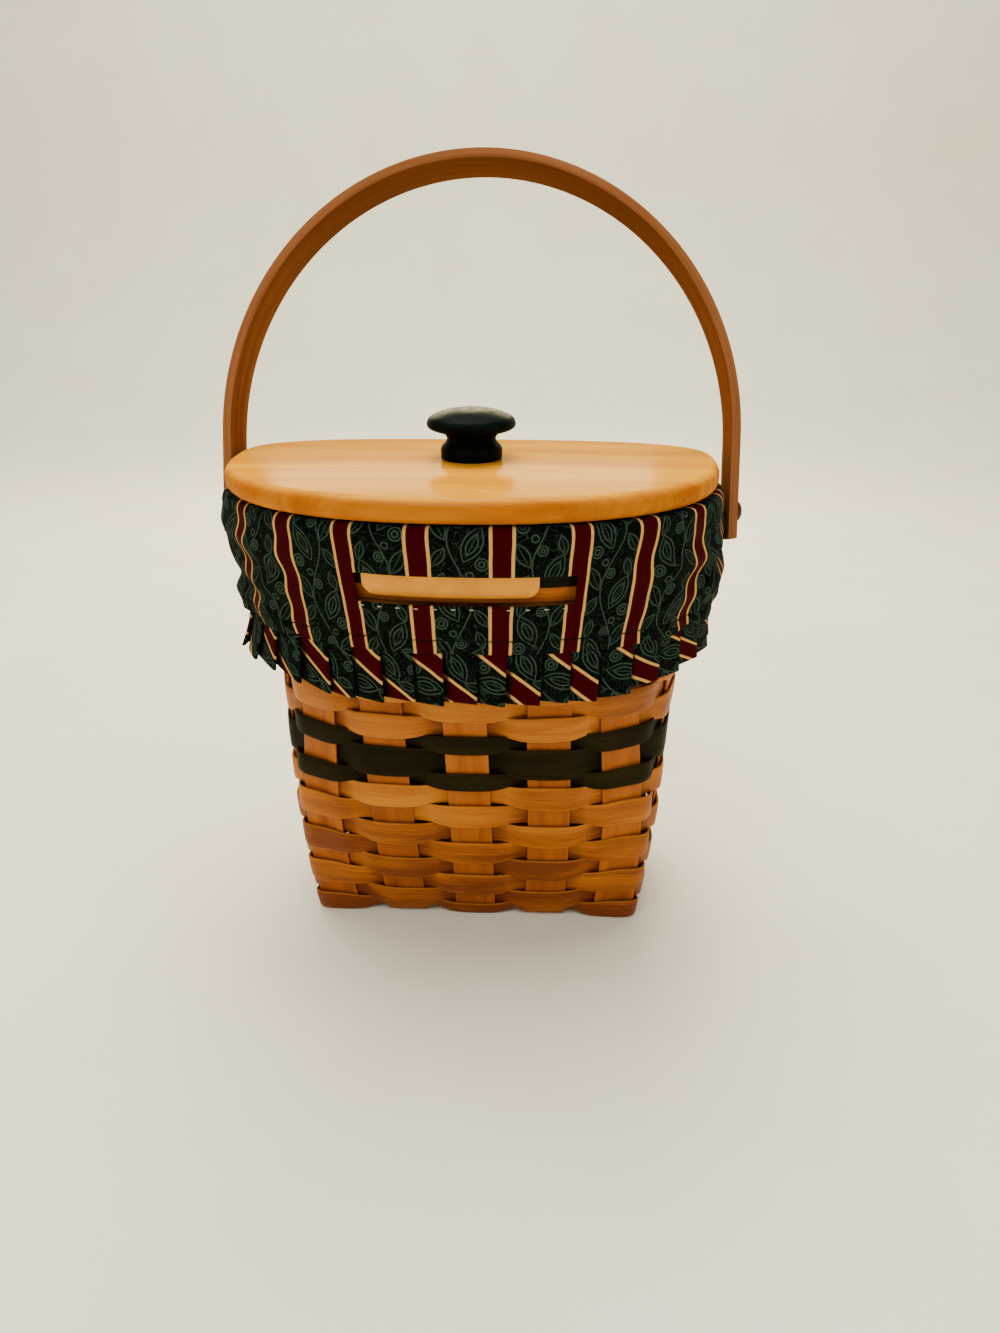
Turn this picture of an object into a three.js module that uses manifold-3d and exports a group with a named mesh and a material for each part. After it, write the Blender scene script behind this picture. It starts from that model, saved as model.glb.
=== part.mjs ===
// Lidded splint basket with a swing handle, a loose board lid and a cloth garter round its rim.
// Millimetres, +Z up. The basket stands on z = 0, its front faces -Y and its right is +X.
import * as THREE from 'three';
import { mergeVertices } from 'three/addons/utils/BufferGeometryUtils.js';
import Module from 'manifold-3d';

const wasm = await Module();
wasm.setup();

// The wall is the surface in the middle of the uprights: nearly a rectangle on the table,
// and at the rim a wide oval with a flatter back
const rimHeight = 236;
const baseHalfLength = 89.8;
const baseHalfDepth = 40.4;
const basePower = 20;
const rimHalfLength = 117.5;
const rimFrontDepth = 92;
const rimBackDepth = 42;
const rimFrontPower = 2.25;
const rimBackPower = 3;
const widestLine = 8;
const squareFade = 4.6;

// Splints: the uprights run up one wall, across the floor and up the other wall
const uprightWidth = 22;
const uprightThickness = 1.6;
const crossPitch = 38.4;
const crossCount = 5;
const longPitch = 40;
const splintGap = 0.35;
const weaveGap = 0.6;
const floorRamp = 5;
const bendRun = 1;
const bendHeight = 5;
const bendTurns = [0.35, 0.7, 1];
const uprightTopDrop = 0.5;

// Weavers: a narrow first row and seven wide ones of honey splint, a green band of three rows,
// the middle one wider, and honey rows above
const weaverThickness = 1.2;
const rowPitch = 11.64;
const lowerRowCount = 8;
const firstRowBottom = 4.3;
const firstRowPitch = 5.2;
const greenNarrowPitch = 8.2;
const greenWidePitch = 15.6;
const rowGap = 0.8;
const rowSwell = 0.5;

// Rim: an outer and an inner band clasp the uprights, and a green strip runs round the outer band
const outerBandHeight = 35;
const outerBandThickness = 3.4;
const innerBandHeight = 30;
const innerBandThickness = 3.2;
const trimHeight = 7;
const trimThickness = 1;

// Bare name plate on the front of the rim
const tagLength = 77.7;
const tagCentre = -6.4;
const tagHeight = 21;
const tagThickness = 1;
const tagCorner = 6;
const tagCornerShares = [0, 0.08, 0.3, 0.6, 1];
const tagDrop = 11.9;

// Swing handle: a bent strip with straight legs, riveted to the rim at both ends
const handleClearance = 1.1;
const handleThickness = 4.9;
const handleDepth = 27.5;
const handleLeg = 37;
const handleArch = 141;
const handleTail = 14.4;
const handleLean = 17.4;
const pivotDrop = 15.3;
const pivotSetback = 12.5;
const rivetRadius = 2.3;
const rivetHeadRadius = 5.8;
const rivetHeadHeight = 4;
const rivetPeen = 0.9;
const rivetPeenRadius = 3.4;
const rivetClearance = 0.3;
const spacerRadius = 5;
const washerRadius = 5;
const washerThickness = 1.2;

// Lid: a board with rounded edges, two cleats underneath and a turned knob held by one screw
const lidThickness = 11.4;
const lidOverhang = 2.7;
const lidEdgeRadius = 4.6;
const lidShift = -2.8;
const cleatPosition = 70;
const cleatWidth = 14;
const cleatThickness = 8;
const cleatFront = 46;
const cleatBack = 30;
const knobHeight = 24.6;
const knobRadius = 22.4;
const knobNeckRadius = 12;
const knobFootRadius = 15.5;
const screwRadius = 2;
const screwHeadRadius = 4;
const screwHeadHeight = 2.4;
const screwReach = 13;
const screwClearance = 0.3;

// Garter: a cloth band turned in over the rim, with a window for the plate and a pleated ruffle
const clothThickness = 1.6;
const clothStandoff = 1.5;
const garterBottom = 176;
const garterLip = 9;
const lipClearance = 2.8;
const garterFoldDepth = 3;
const foldEndLevel = 1.2;
const gatherStart = 0.5;
const gatherFull = 0.9;
const garterBelly = 2.5;
const garterFoldsPerQuarter = 5;
const windowLeft = -47.7;
const windowRight = 50.1;
const windowBottom = 202;
const windowHeight = 15.7;
const ruffleDrop = 28;
const ruffleEndDrop = 20;
const rufflePleats = 44;
const ruffleFlare = 3;
const pleatLap = 0.8;
const pleatDepthTop = 1.6;
const pleatDepthBottom = 4.2;
const elasticHeight = 5;
const elasticThickness = 1.2;
const elasticDrop = 2.5;

// Steps of the round outlines
const outlineSteps = 48;
const wallSteps = 22;
const clothStations = 60;
const lidSteps = 64;
const archSteps = 36;
const turnedSteps = 20;
const knobSteps = 16;
const headSteps = 5;
const lidEdgeSteps = 3;

const honey = 0xc8862c;
const upright = 0xb8741f;
const green = 0x2a2712;
const handleBrown = 0x9a5a22;
const lidGold = 0xd9a35c;
const knobGreen = 0x16211b;
const rivetBrown = 0x4a1f12;
const clothGreen = 0x142219;
const plateGold = 0xdda356;
const steel = 0x8f8f8a;
const elasticWhite = 0xd8d4c8;

const lerp = THREE.MathUtils.lerp;
const basket = new THREE.Group();

function addPiece(parent, name, geometry, color, roughness, metalness = 0) {
  const mesh = new THREE.Mesh(geometry, new THREE.MeshStandardMaterial({ color, roughness, metalness }));
  mesh.name = name;
  parent.add(mesh);
  return mesh;
}

// One quarter of a superellipse, from the middle of a long side to the end of the oval
function quarterOutline(halfLength, depth, power) {
  const points = [];
  for (let i = 0; i < outlineSteps; i++) {
    const angle = (i / outlineSteps) * Math.PI / 2;
    const x = halfLength * Math.sin(angle) ** (2 / power);
    const y = depth * Math.cos(angle) ** (2 / power);
    points.push(new THREE.Vector2(x, y));
  }
  points.push(new THREE.Vector2(halfLength, 0));
  return new THREE.Path(points);
}

const sectionStore = new Map();

function wallSection(z) {
  if (!sectionStore.has(z)) {
    const rise = z / rimHeight;
    const square = Math.max(0, 1 - rise) ** squareFade;
    const halfLength = lerp(baseHalfLength, rimHalfLength, rise);
    const front = lerp(baseHalfDepth, rimFrontDepth, rise);
    const back = lerp(baseHalfDepth, rimBackDepth, rise);
    sectionStore.set(z, {
      centreY: widestLine * rise,
      fore: quarterOutline(halfLength, front, lerp(rimFrontPower, basePower, square)),
      rear: quarterOutline(halfLength, back, lerp(rimBackPower, basePower, square)),
    });
  }
  return sectionStore.get(z);
}

// Stations run round the wall: 0 front middle, 1 right end, 2 back middle, 3 left end, 4 front again
function onRearHalf(station) {
  const turn = THREE.MathUtils.euclideanModulo(station, 4);
  return turn > 1 && turn < 3;
}

function wallPoint(station, z) {
  const turn = THREE.MathUtils.euclideanModulo(station, 4);
  const left = turn > 2;
  const along = left ? 4 - turn : turn;
  const section = wallSection(z);
  const point = along > 1 ? section.rear.getPoint(2 - along) : section.fore.getPoint(along);
  const y = along > 1 ? point.y : -point.y;
  return new THREE.Vector3(left ? -point.x : point.x, section.centreY + y, z);
}

function stationBeside(station, z, distance) {
  const section = wallSection(z);
  const quarter = onRearHalf(station) ? section.rear : section.fore;
  return station + distance / quarter.getLength();
}

function wallOutward(station, z) {
  const step = 0.01;
  const around = wallPoint(station + step, z).sub(wallPoint(station - step, z));
  return new THREE.Vector3(around.y, -around.x, 0).normalize();
}

function offWall(station, z, reach) {
  return wallPoint(station, z).addScaledVector(wallOutward(station, z), reach);
}

// Closed solid through a row of sections with the same number of points, as a ring or capped strip.
// The second half of each section mirrors the first, so that both faces of a strip fold alike.
function sweptSolid(sections, ring) {
  const count = sections[0].length;
  const positions = sections.flat().flatMap((point) => point.toArray());
  const index = [];
  const spans = ring ? sections.length : sections.length - 1;
  for (let i = 0; i < spans; i++) {
    const here = i * count;
    const next = ((i + 1) % sections.length) * count;
    for (let j = 0; j < count; j++) {
      const k = (j + 1) % count;
      if (j < count / 2) {
        index.push(here + j, here + k, next + j, here + k, next + k, next + j);
      } else {
        index.push(here + j, here + k, next + k, here + j, next + k, next + j);
      }
    }
  }
  if (!ring) {
    const last = (sections.length - 1) * count;
    for (let j = 1; j < count - 1; j++) {
      index.push(0, j + 1, j, last, last + j, last + j + 1);
    }
  }
  const geometry = new THREE.BufferGeometry();
  geometry.setAttribute('position', new THREE.Float32BufferAttribute(positions, 3));
  geometry.setIndex(index);
  return facingOut(geometry);
}

function signedVolume(geometry) {
  const place = geometry.attributes.position;
  const corners = geometry.index.array;
  const [a, b, c] = [new THREE.Vector3(), new THREE.Vector3(), new THREE.Vector3()];
  let volume = 0;
  for (let i = 0; i < corners.length; i += 3) {
    a.fromBufferAttribute(place, corners[i]);
    b.fromBufferAttribute(place, corners[i + 1]);
    c.fromBufferAttribute(place, corners[i + 2]);
    volume += a.dot(b.cross(c)) / 6;
  }
  return volume;
}

function facingOut(geometry) {
  if (signedVolume(geometry) < 0) {
    const corners = geometry.index.array;
    for (let i = 0; i < corners.length; i += 3) {
      [corners[i + 1], corners[i + 2]] = [corners[i + 2], corners[i + 1]];
    }
  }
  return geometry;
}

function merged(geometry) {
  const bare = geometry.clone();
  bare.deleteAttribute('normal');
  bare.deleteAttribute('uv');
  return facingOut(mergeVertices(bare, 1e-4));
}

function asSolid(geometry) {
  const closed = merged(geometry);
  return new wasm.Manifold(new wasm.Mesh({
    numProp: 3,
    vertProperties: new Float32Array(closed.attributes.position.array),
    triVerts: new Uint32Array(closed.index.array),
  }));
}

function cutAway(geometry, ...cutters) {
  let solid = asSolid(geometry);
  for (const cutter of cutters) {
    solid = solid.subtract(asSolid(cutter));
  }
  const mesh = solid.getMesh();
  const result = new THREE.BufferGeometry();
  result.setAttribute('position', new THREE.Float32BufferAttribute(mesh.vertProperties, 3));
  result.setIndex(Array.from(mesh.triVerts));
  return result;
}

// Turned piece from its half profile of [radius, height] points, about Z
function turned(profile) {
  const points = profile.map(([radius, height]) => new THREE.Vector2(radius, height));
  return merged(new THREE.LatheGeometry(points, turnedSteps)).rotateX(Math.PI / 2);
}

// Uprights round the wall, from the front middle towards the right end
const baseQuarter = wallSection(0).fore.getLength();
const crossReach = (crossCount - 1) / 2;
const uprightStations = [];
for (let i = -crossReach; i <= crossReach; i++) {
  uprightStations.push(i * crossPitch / baseQuarter, 2 - i * crossPitch / baseQuarter);
}
for (const end of [1, 3]) {
  uprightStations.push(end - longPitch / 2 / baseQuarter, end + longPitch / 2 / baseQuarter);
}
const stations = uprightStations.map((s) => THREE.MathUtils.euclideanModulo(s, 4)).sort((a, b) => a - b);

// Two corner places at each upright and one halfway to the next, with the side that each faces
function stationsAt(z) {
  const places = [];
  stations.forEach((station, i) => {
    const next = i + 1 < stations.length ? stations[i + 1] : stations[0] + 4;
    const outward = wallOutward(station, z);
    for (const side of [-1, 1]) {
      const edge = stationBeside(station, z, side * (uprightWidth / 2 + splintGap));
      places.push({ upright: i, point: wallPoint(edge, z), outward });
    }
    const middle = (station + next) / 2;
    places.push({ upright: null, point: wallPoint(middle, z), outward: wallOutward(middle, z) });
  });
  return places;
}

function placeOut(place, reach) {
  return place.point.clone().addScaledVector(place.outward, reach);
}

// A row passes outside every second upright and inside the others, and swells where it is free
const weaveReach = uprightThickness / 2 + weaveGap + weaverThickness / 2;

function weaverRow({ bottom, top, swellBelow, swellAbove, rowIndex }) {
  const low = stationsAt(bottom);
  const lowWide = stationsAt(bottom - swellBelow);
  const high = stationsAt(top);
  const highWide = stationsAt(top + swellAbove);
  const sections = low.map((place, i) => {
    const crossing = place.upright === null;
    const outside = (place.upright + rowIndex) % 2 === 0 ? 1 : -1;
    const reach = crossing ? 0 : outside * weaveReach;
    const lower = crossing ? low[i] : lowWide[i];
    const upper = crossing ? high[i] : highWide[i];
    const inner = reach - weaverThickness / 2;
    const outer = reach + weaverThickness / 2;
    return [placeOut(upper, inner), placeOut(upper, outer), placeOut(lower, outer), placeOut(lower, inner)];
  });
  return sweptSolid(sections, true);
}

function rimRing(inner, outer, bottom, top) {
  const low = stationsAt(bottom);
  const high = stationsAt(top);
  const sections = low.map((place, i) => [
    placeOut(high[i], inner), placeOut(high[i], outer), placeOut(place, outer), placeOut(place, inner),
  ]);
  return sweptSolid(sections, true);
}

// Floor height of a splint that lies on the table and climbs over the ones it crosses on top
function floorHeight(along, overAt) {
  let lift = 0;
  for (const crossing of overAt) {
    const away = Math.abs(along - crossing) - uprightWidth / 2 - splintGap;
    lift = Math.max(lift, THREE.MathUtils.clamp(1 - away / floorRamp, 0, 1));
  }
  return uprightThickness / 2 + lift * (uprightThickness + splintGap);
}

function splintSection(left, right, outward) {
  const half = uprightThickness / 2;
  return [
    left.clone().addScaledVector(outward, -half), left.clone().addScaledVector(outward, half),
    right.clone().addScaledVector(outward, half), right.clone().addScaledVector(outward, -half),
  ];
}

// Sections down one wall, round the bend and onto the floor
function wallRun(station, floorEdges, floorLevel) {
  const sections = [];
  const top = rimHeight - uprightTopDrop;
  const half = uprightWidth / 2;
  for (let i = 0; i <= wallSteps; i++) {
    const z = lerp(top, bendHeight, i / wallSteps);
    const left = wallPoint(stationBeside(station, z, -half), z);
    const right = wallPoint(stationBeside(station, z, half), z);
    sections.push(splintSection(left, right, wallOutward(station, z)));
  }
  const outward = wallOutward(station, bendHeight);
  const down = new THREE.Vector3(0, 0, -1);
  const edges = [-half, half].map((side, i) => {
    const start = wallPoint(stationBeside(station, bendHeight, side), bendHeight);
    const corner = new THREE.Vector3(start.x, start.y, floorLevel);
    return new THREE.QuadraticBezierCurve3(start, corner, floorEdges[i]);
  });
  for (const turn of bendTurns) {
    const facing = outward.clone().lerp(down, turn).normalize();
    sections.push(splintSection(edges[0].getPoint(turn), edges[1].getPoint(turn), facing));
  }
  return sections;
}

// One splint: down the wall at its first station, across the floor and up at its second station
function splint(first, second, overAt) {
  const half = uprightWidth / 2;
  const start = wallPoint(first, 0);
  const end = wallPoint(second, 0);
  const path = end.clone().sub(start).normalize();
  const middle = start.clone().add(end).multiplyScalar(0.5);
  const reach = start.distanceTo(end) / 2 - bendRun;
  const across = path.clone().cross(new THREE.Vector3(0, 0, 1));
  const floorPoint = (along, side) => middle.clone().addScaledVector(path, along)
    .addScaledVector(across, side).setZ(floorHeight(along, overAt));
  const breaks = [-reach, reach];
  for (const crossing of overAt) {
    for (const side of [-1, 1]) {
      const flat = crossing + side * (uprightWidth / 2 + splintGap);
      breaks.push(flat, flat + side * floorRamp);
    }
  }
  const stops = breaks.filter((along) => Math.abs(along) < reach).sort((a, b) => a - b);
  const startEdges = [floorPoint(-reach, -half), floorPoint(-reach, half)];
  const endEdges = [floorPoint(reach, half), floorPoint(reach, -half)];
  const down = new THREE.Vector3(0, 0, -1);
  const front = wallRun(first, startEdges, startEdges[0].z);
  const floor = stops.map((along) => splintSection(floorPoint(along, -half), floorPoint(along, half), down));
  const back = wallRun(second, endEdges, endEdges[0].z).reverse();
  const turnedBack = back.map(([a, b, c, d]) => [d, c, b, a]);
  return sweptSolid([...front, ...floor, ...turnedBack], false);
}

const crossPlaces = [];
for (let i = 0; i < crossCount; i++) {
  crossPlaces.push((i - crossReach) * crossPitch);
}
const longPlaces = [-longPitch / 2, longPitch / 2];
crossPlaces.forEach((place, i) => {
  const station = place / baseQuarter;
  const overAt = longPlaces.filter((_, j) => (i + j) % 2 === 0);
  const geometry = splint(station, 2 - station, overAt);
  addPiece(basket, `cross_splint_${i + 1}`, geometry, upright, 0.5);
});
longPlaces.forEach((place, j) => {
  const station = 3 - place / baseQuarter;
  const overAt = crossPlaces.filter((_, i) => (i + j) % 2 === 1);
  const geometry = splint(station, 4 - station, overAt);
  addPiece(basket, `long_splint_${j + 1}`, geometry, upright, 0.5);
});

// Rows from the table up; the honey rows above the green band share the height that is left
const bandBottom = rimHeight - outerBandHeight;
const rows = [];
let rowBottom = firstRowBottom;

function addRow(name, pitch, color) {
  rows.push({ name, bottom: rowBottom + rowGap / 2, top: rowBottom + pitch - rowGap / 2, color });
  rowBottom += pitch;
}

for (let i = 0; i < lowerRowCount; i++) {
  addRow(`weaver_lower_${i + 1}`, i > 0 ? rowPitch : firstRowPitch, honey);
}
addRow('weaver_green_lower', greenNarrowPitch, green);
addRow('weaver_green_wide', greenWidePitch, green);
addRow('weaver_green_upper', greenNarrowPitch, green);
const upperRowCount = Math.round((bandBottom - rowBottom) / rowPitch);
const upperPitch = (bandBottom - rowBottom) / upperRowCount;
for (let i = 0; i < upperRowCount; i++) {
  addRow(`weaver_upper_${i + 1}`, upperPitch, honey);
}
rows.forEach((row, i) => {
  const swellBelow = i > 0 ? rowSwell : 0;
  const swellAbove = i < rows.length - 1 ? rowSwell : 0;
  const geometry = weaverRow({ ...row, swellBelow, swellAbove, rowIndex: i });
  addPiece(basket, row.name, geometry, row.color, 0.45);
});

// Rim bands, drilled for the rivets; the handle stands clear of the lid, wherever that lies on the rim
const pivotHeight = rimHeight - pivotDrop;
const bandInner = uprightThickness / 2 + weaveGap;
const bandOuter = bandInner + outerBandThickness;
const innerBandFace = -bandInner - innerBandThickness;
const trimInner = bandOuter + splintGap;
const trimOuter = trimInner + trimThickness;
const trimTop = pivotHeight - spacerRadius - splintGap;
const lidGrow = bandOuter + lidOverhang;
const handleInside = rimHalfLength + lidGrow + Math.abs(lidShift) + handleClearance;
const handleHalfWidth = handleInside + handleThickness;
const holeRadius = rivetRadius + rivetClearance;
const drill = new THREE.CylinderGeometry(holeRadius, holeRadius, 4 * handleHalfWidth, turnedSteps)
  .rotateZ(Math.PI / 2).translate(0, pivotSetback, pivotHeight);
const outerBand = rimRing(bandInner, bandOuter, bandBottom, rimHeight);
addPiece(basket, 'rim_outer_band', cutAway(outerBand, drill), honey, 0.45);
const innerBand = rimRing(innerBandFace, -bandInner, rimHeight - innerBandHeight, rimHeight);
addPiece(basket, 'rim_inner_band', cutAway(innerBand, drill), honey, 0.45);
const trimRing = rimRing(trimInner, trimOuter, trimTop - trimHeight, trimTop);
addPiece(basket, 'rim_trim_strip', trimRing, green, 0.45);

// Bare plate against the trim strip, with round lower corners
const tagInner = trimOuter + splintGap;
const tagOuter = tagInner + tagThickness;
const tagTop = rimHeight - tagDrop;
const tagSections = [];
const tagRight = tagCornerShares.map((share) => tagLength - share * tagCorner).reverse();
const tagLeft = tagCornerShares.map((share) => share * tagCorner);
const tagAlong = [...tagLeft, tagLength / 3, 2 * tagLength / 3, ...tagRight];
for (const along of tagAlong) {
  const fromEnd = Math.min(along, tagLength - along, tagCorner);
  const round = tagCorner - Math.sqrt(tagCorner ** 2 - (tagCorner - fromEnd) ** 2);
  const low = tagTop - tagHeight + round;
  const corners = [[tagInner, low], [tagOuter, low], [tagOuter, tagTop], [tagInner, tagTop]];
  const distance = tagCentre - tagLength / 2 + along;
  tagSections.push(corners.map(([reach, z]) => offWall(stationBeside(0, z, distance), z, reach)));
}
addPiece(basket, 'tag_plate', sweptSolid(tagSections, false), plateGold, 0.4);

// How far to the right a face of the rim lies beside the pivot, over the width of a round seat
function rimSide(reach, z, radius) {
  const ring = stationsAt(z).map((place) => placeOut(place, reach));
  const steps = [-1, -0.5, 0, 0.5, 1].map((share) => pivotSetback + share * radius);
  return steps.map((y) => {
    const i = ring.findIndex((point, k) => point.x > 0 && point.y <= y && ring[k + 1].y > y);
    return lerp(ring[i].x, ring[i + 1].x, (y - ring[i].y) / (ring[i + 1].y - ring[i].y));
  });
}

// Rivets through the rim, each with a spacer outside the rim and a washer inside it
const spacerSeat = Math.max(...rimSide(bandOuter, pivotHeight + spacerRadius, spacerRadius)) + splintGap;
const washerSeat = Math.min(...rimSide(innerBandFace, pivotHeight - washerRadius, washerRadius)) - splintGap;
const peenSeat = washerSeat - washerThickness - splintGap;
const headSeat = handleHalfWidth + rivetClearance;
const rivetProfile = [
  [0, peenSeat - rivetPeen], [rivetPeenRadius, peenSeat - rivetPeen], [rivetPeenRadius, peenSeat],
  [rivetRadius, peenSeat], [rivetRadius, headSeat], [rivetHeadRadius, headSeat],
];
for (let i = 1; i <= headSteps; i++) {
  const angle = (i / headSteps) * Math.PI / 2;
  rivetProfile.push([rivetHeadRadius * Math.cos(angle), headSeat + rivetHeadHeight * Math.sin(angle)]);
}
rivetProfile[rivetProfile.length - 1][0] = 0;

function collarProfile(inner, outer, from, to) {
  return [[inner, from], [outer, from], [outer, to], [inner, to], [inner, from]];
}

const spacerProfile = collarProfile(holeRadius, spacerRadius, spacerSeat, handleInside - splintGap);
const washerProfile = collarProfile(holeRadius, washerRadius, washerSeat - washerThickness, washerSeat);
for (const [side, turn] of [['right', Math.PI / 2], ['left', -Math.PI / 2]]) {
  const pivot = new THREE.Group();
  pivot.position.set(0, pivotSetback, pivotHeight);
  pivot.rotation.y = turn;
  addPiece(pivot, `handle_rivet_${side}`, turned(rivetProfile), rivetBrown, 0.35);
  addPiece(pivot, `handle_spacer_${side}`, turned(spacerProfile), handleBrown, 0.5);
  addPiece(pivot, `rivet_washer_${side}`, turned(washerProfile), steel, 0.35, 1);
  basket.add(pivot);
}

// Handle, drawn upright about its pivot and then leaned back
const archShape = new THREE.Shape();
archShape.moveTo(handleHalfWidth, -handleTail);
archShape.lineTo(handleHalfWidth, handleLeg);
archShape.absellipse(0, handleLeg, handleHalfWidth, handleArch, 0, Math.PI, false);
archShape.lineTo(-handleHalfWidth, -handleTail);
archShape.lineTo(-handleInside, -handleTail);
archShape.lineTo(-handleInside, handleLeg);
archShape.absellipse(0, handleLeg, handleInside, handleArch - handleThickness, Math.PI, 0, true);
archShape.lineTo(handleInside, -handleTail);
const archStrip = new THREE.ExtrudeGeometry(archShape, {
  depth: handleDepth, bevelEnabled: false, curveSegments: archSteps,
}).translate(0, 0, -handleDepth / 2).rotateX(Math.PI / 2);
const legDrill = new THREE.CylinderGeometry(holeRadius, holeRadius, 4 * handleHalfWidth, turnedSteps)
  .rotateZ(Math.PI / 2);
const swing = new THREE.Group();
swing.position.set(0, pivotSetback, pivotHeight);
swing.rotation.x = -THREE.MathUtils.degToRad(handleLean);
addPiece(swing, 'handle', cutAway(archStrip, legDrill), handleBrown, 0.4);
basket.add(swing);

// Cloth band: an outer face with gathers at both ends, a turn over the rim and a lip inside it
const clothSeat = rimHeight + splintGap;
const clothFront = tagOuter + splintGap;
const clothEnd = trimOuter + splintGap;
const lipReach = innerBandFace - lipClearance;
const garterLevels = [0, 0.24, 0.5, 0.75, 0.92];

// How far a place on the cloth belongs to the gathered ends, from 0 at the front to 1
function endShare(station, z) {
  const aside = Math.abs(wallPoint(station, z).x) / rimHalfLength;
  return THREE.MathUtils.smoothstep(aside, gatherStart, gatherFull);
}

function gatherAt(station) {
  return (1 + Math.cos(2 * Math.PI * garterFoldsPerQuarter * station)) / 2;
}

const garterSections = [];
for (let i = 0; i < clothStations; i++) {
  const station = 4 * i / clothStations;
  const face = garterLevels.map((level) => {
    const z = lerp(garterBottom, rimHeight, level);
    const share = endShare(station, z);
    const fold = garterFoldDepth * (foldEndLevel - level) * gatherAt(station);
    const belly = garterBelly * Math.sin(Math.PI * level);
    return [lerp(clothFront, clothEnd, share) + clothStandoff * (1 - level) + (fold + belly) * share, z];
  });
  const turnOver = [[trimOuter, clothSeat], [lipReach, clothSeat], [lipReach, rimHeight - garterLip]];
  const inner = [...face, ...turnOver];
  const outer = [...face.map(([reach, z]) => [reach + clothThickness, z])];
  outer.push([trimOuter + clothThickness, clothSeat + clothThickness]);
  outer.push([lipReach - clothThickness, clothSeat + clothThickness]);
  outer.push([lipReach - clothThickness, rimHeight - garterLip]);
  const ringPoints = [...inner, ...outer.reverse()];
  garterSections.push(ringPoints.map(([reach, z]) => offWall(station, z, reach)));
}
const frontFace = offWall(0, windowBottom, clothFront).y;
const windowCut = new THREE.BoxGeometry(windowRight - windowLeft, rimFrontDepth, windowHeight)
  .translate((windowLeft + windowRight) / 2, frontFace, windowBottom + windowHeight / 2);
const eyeletRadius = spacerRadius + splintGap;
const eyelets = new THREE.CylinderGeometry(eyeletRadius, eyeletRadius, 4 * handleHalfWidth, turnedSteps)
  .rotateZ(Math.PI / 2).translate(0, pivotSetback, pivotHeight);
const garterBand = cutAway(sweptSolid(garterSections, true), windowCut, eyelets);
addPiece(basket, 'garter_band', garterBand, clothGreen, 0.9);

// Ruffle: knife pleats that open towards the hem
const ruffleSections = [];
const ruffleTop = garterBottom - splintGap;
for (let i = 0; i < rufflePleats; i++) {
  for (const [phase, fold] of [[0, 0], [pleatLap, 1]]) {
    const station = 4 * (i + phase) / rufflePleats;
    const ends = endShare(station, ruffleTop);
    const seam = lerp(clothFront, clothEnd + garterFoldDepth / 2, ends) + clothStandoff + clothThickness / 2;
    const hang = [0, 0.5, 1].map((share) => {
      const pleat = lerp(pleatDepthTop, pleatDepthBottom, share) * (fold - 0.5);
      return [seam + ruffleFlare * share + pleat, ruffleTop - lerp(ruffleDrop, ruffleEndDrop, ends) * share];
    });
    const inner = hang.map(([reach, z]) => offWall(station, z, reach - clothThickness / 2));
    const outer = hang.map(([reach, z]) => offWall(station, z, reach + clothThickness / 2));
    ruffleSections.push([...inner, ...outer.reverse()]);
  }
}
addPiece(basket, 'garter_ruffle', sweptSolid(ruffleSections, true), clothGreen, 0.9);

// Elastic that draws the lip in under the lid
const elasticOuter = lipReach - clothThickness - splintGap;
const elasticTop = rimHeight - elasticDrop;
const elasticSections = [];
for (let i = 0; i < clothStations / 2; i++) {
  const station = 8 * i / clothStations;
  const inner = elasticOuter - elasticThickness;
  const low = elasticTop - elasticHeight;
  const corners = [[inner, low], [elasticOuter, low], [elasticOuter, elasticTop], [inner, elasticTop]];
  elasticSections.push(corners.map(([reach, z]) => offWall(station, z, reach)));
}
addPiece(basket, 'garter_elastic', sweptSolid(elasticSections, true), elasticWhite, 0.9);

// Lid, shifted a little to the left as it lies on the cloth
const lidBottom = clothSeat + clothThickness + splintGap;
const lidOutline = [];
const lidFore = quarterOutline(rimHalfLength + lidGrow, rimFrontDepth + lidGrow, rimFrontPower);
const lidRear = quarterOutline(rimHalfLength + lidGrow, rimBackDepth + lidGrow, rimBackPower);
for (let i = 0; i < lidSteps; i++) {
  const turn = 4 * i / lidSteps;
  const along = turn > 2 ? 4 - turn : turn;
  const point = along > 1 ? lidRear.getPoint(2 - along) : lidFore.getPoint(along);
  lidOutline.push(new THREE.Vector2(turn > 2 ? -point.x : point.x, along > 1 ? point.y : -point.y));
}
const lidBoard = new THREE.ExtrudeGeometry(new THREE.Shape(lidOutline), {
  depth: lidThickness - 2 * lidEdgeRadius, bevelEnabled: true, bevelThickness: lidEdgeRadius,
  bevelSize: lidEdgeRadius, bevelOffset: -lidEdgeRadius, bevelSegments: lidEdgeSteps,
}).translate(0, widestLine, lidEdgeRadius);
const screwHole = screwRadius + screwClearance;
const lidDrill = new THREE.CylinderGeometry(screwHole, screwHole, 4 * lidThickness, turnedSteps)
  .rotateX(Math.PI / 2);
const lid = new THREE.Group();
lid.position.set(lidShift, 0, lidBottom);
addPiece(lid, 'lid_board', cutAway(lidBoard, lidDrill), lidGold, 0.3);
for (const [side, sign] of [['left', -1], ['right', 1]]) {
  const cleat = new THREE.BoxGeometry(cleatWidth, cleatFront + cleatBack, cleatThickness);
  const mesh = addPiece(lid, `lid_cleat_${side}`, cleat, lidGold, 0.5);
  mesh.position.set(sign * cleatPosition, (cleatBack - cleatFront) / 2, -splintGap - cleatThickness / 2);
}

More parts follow.
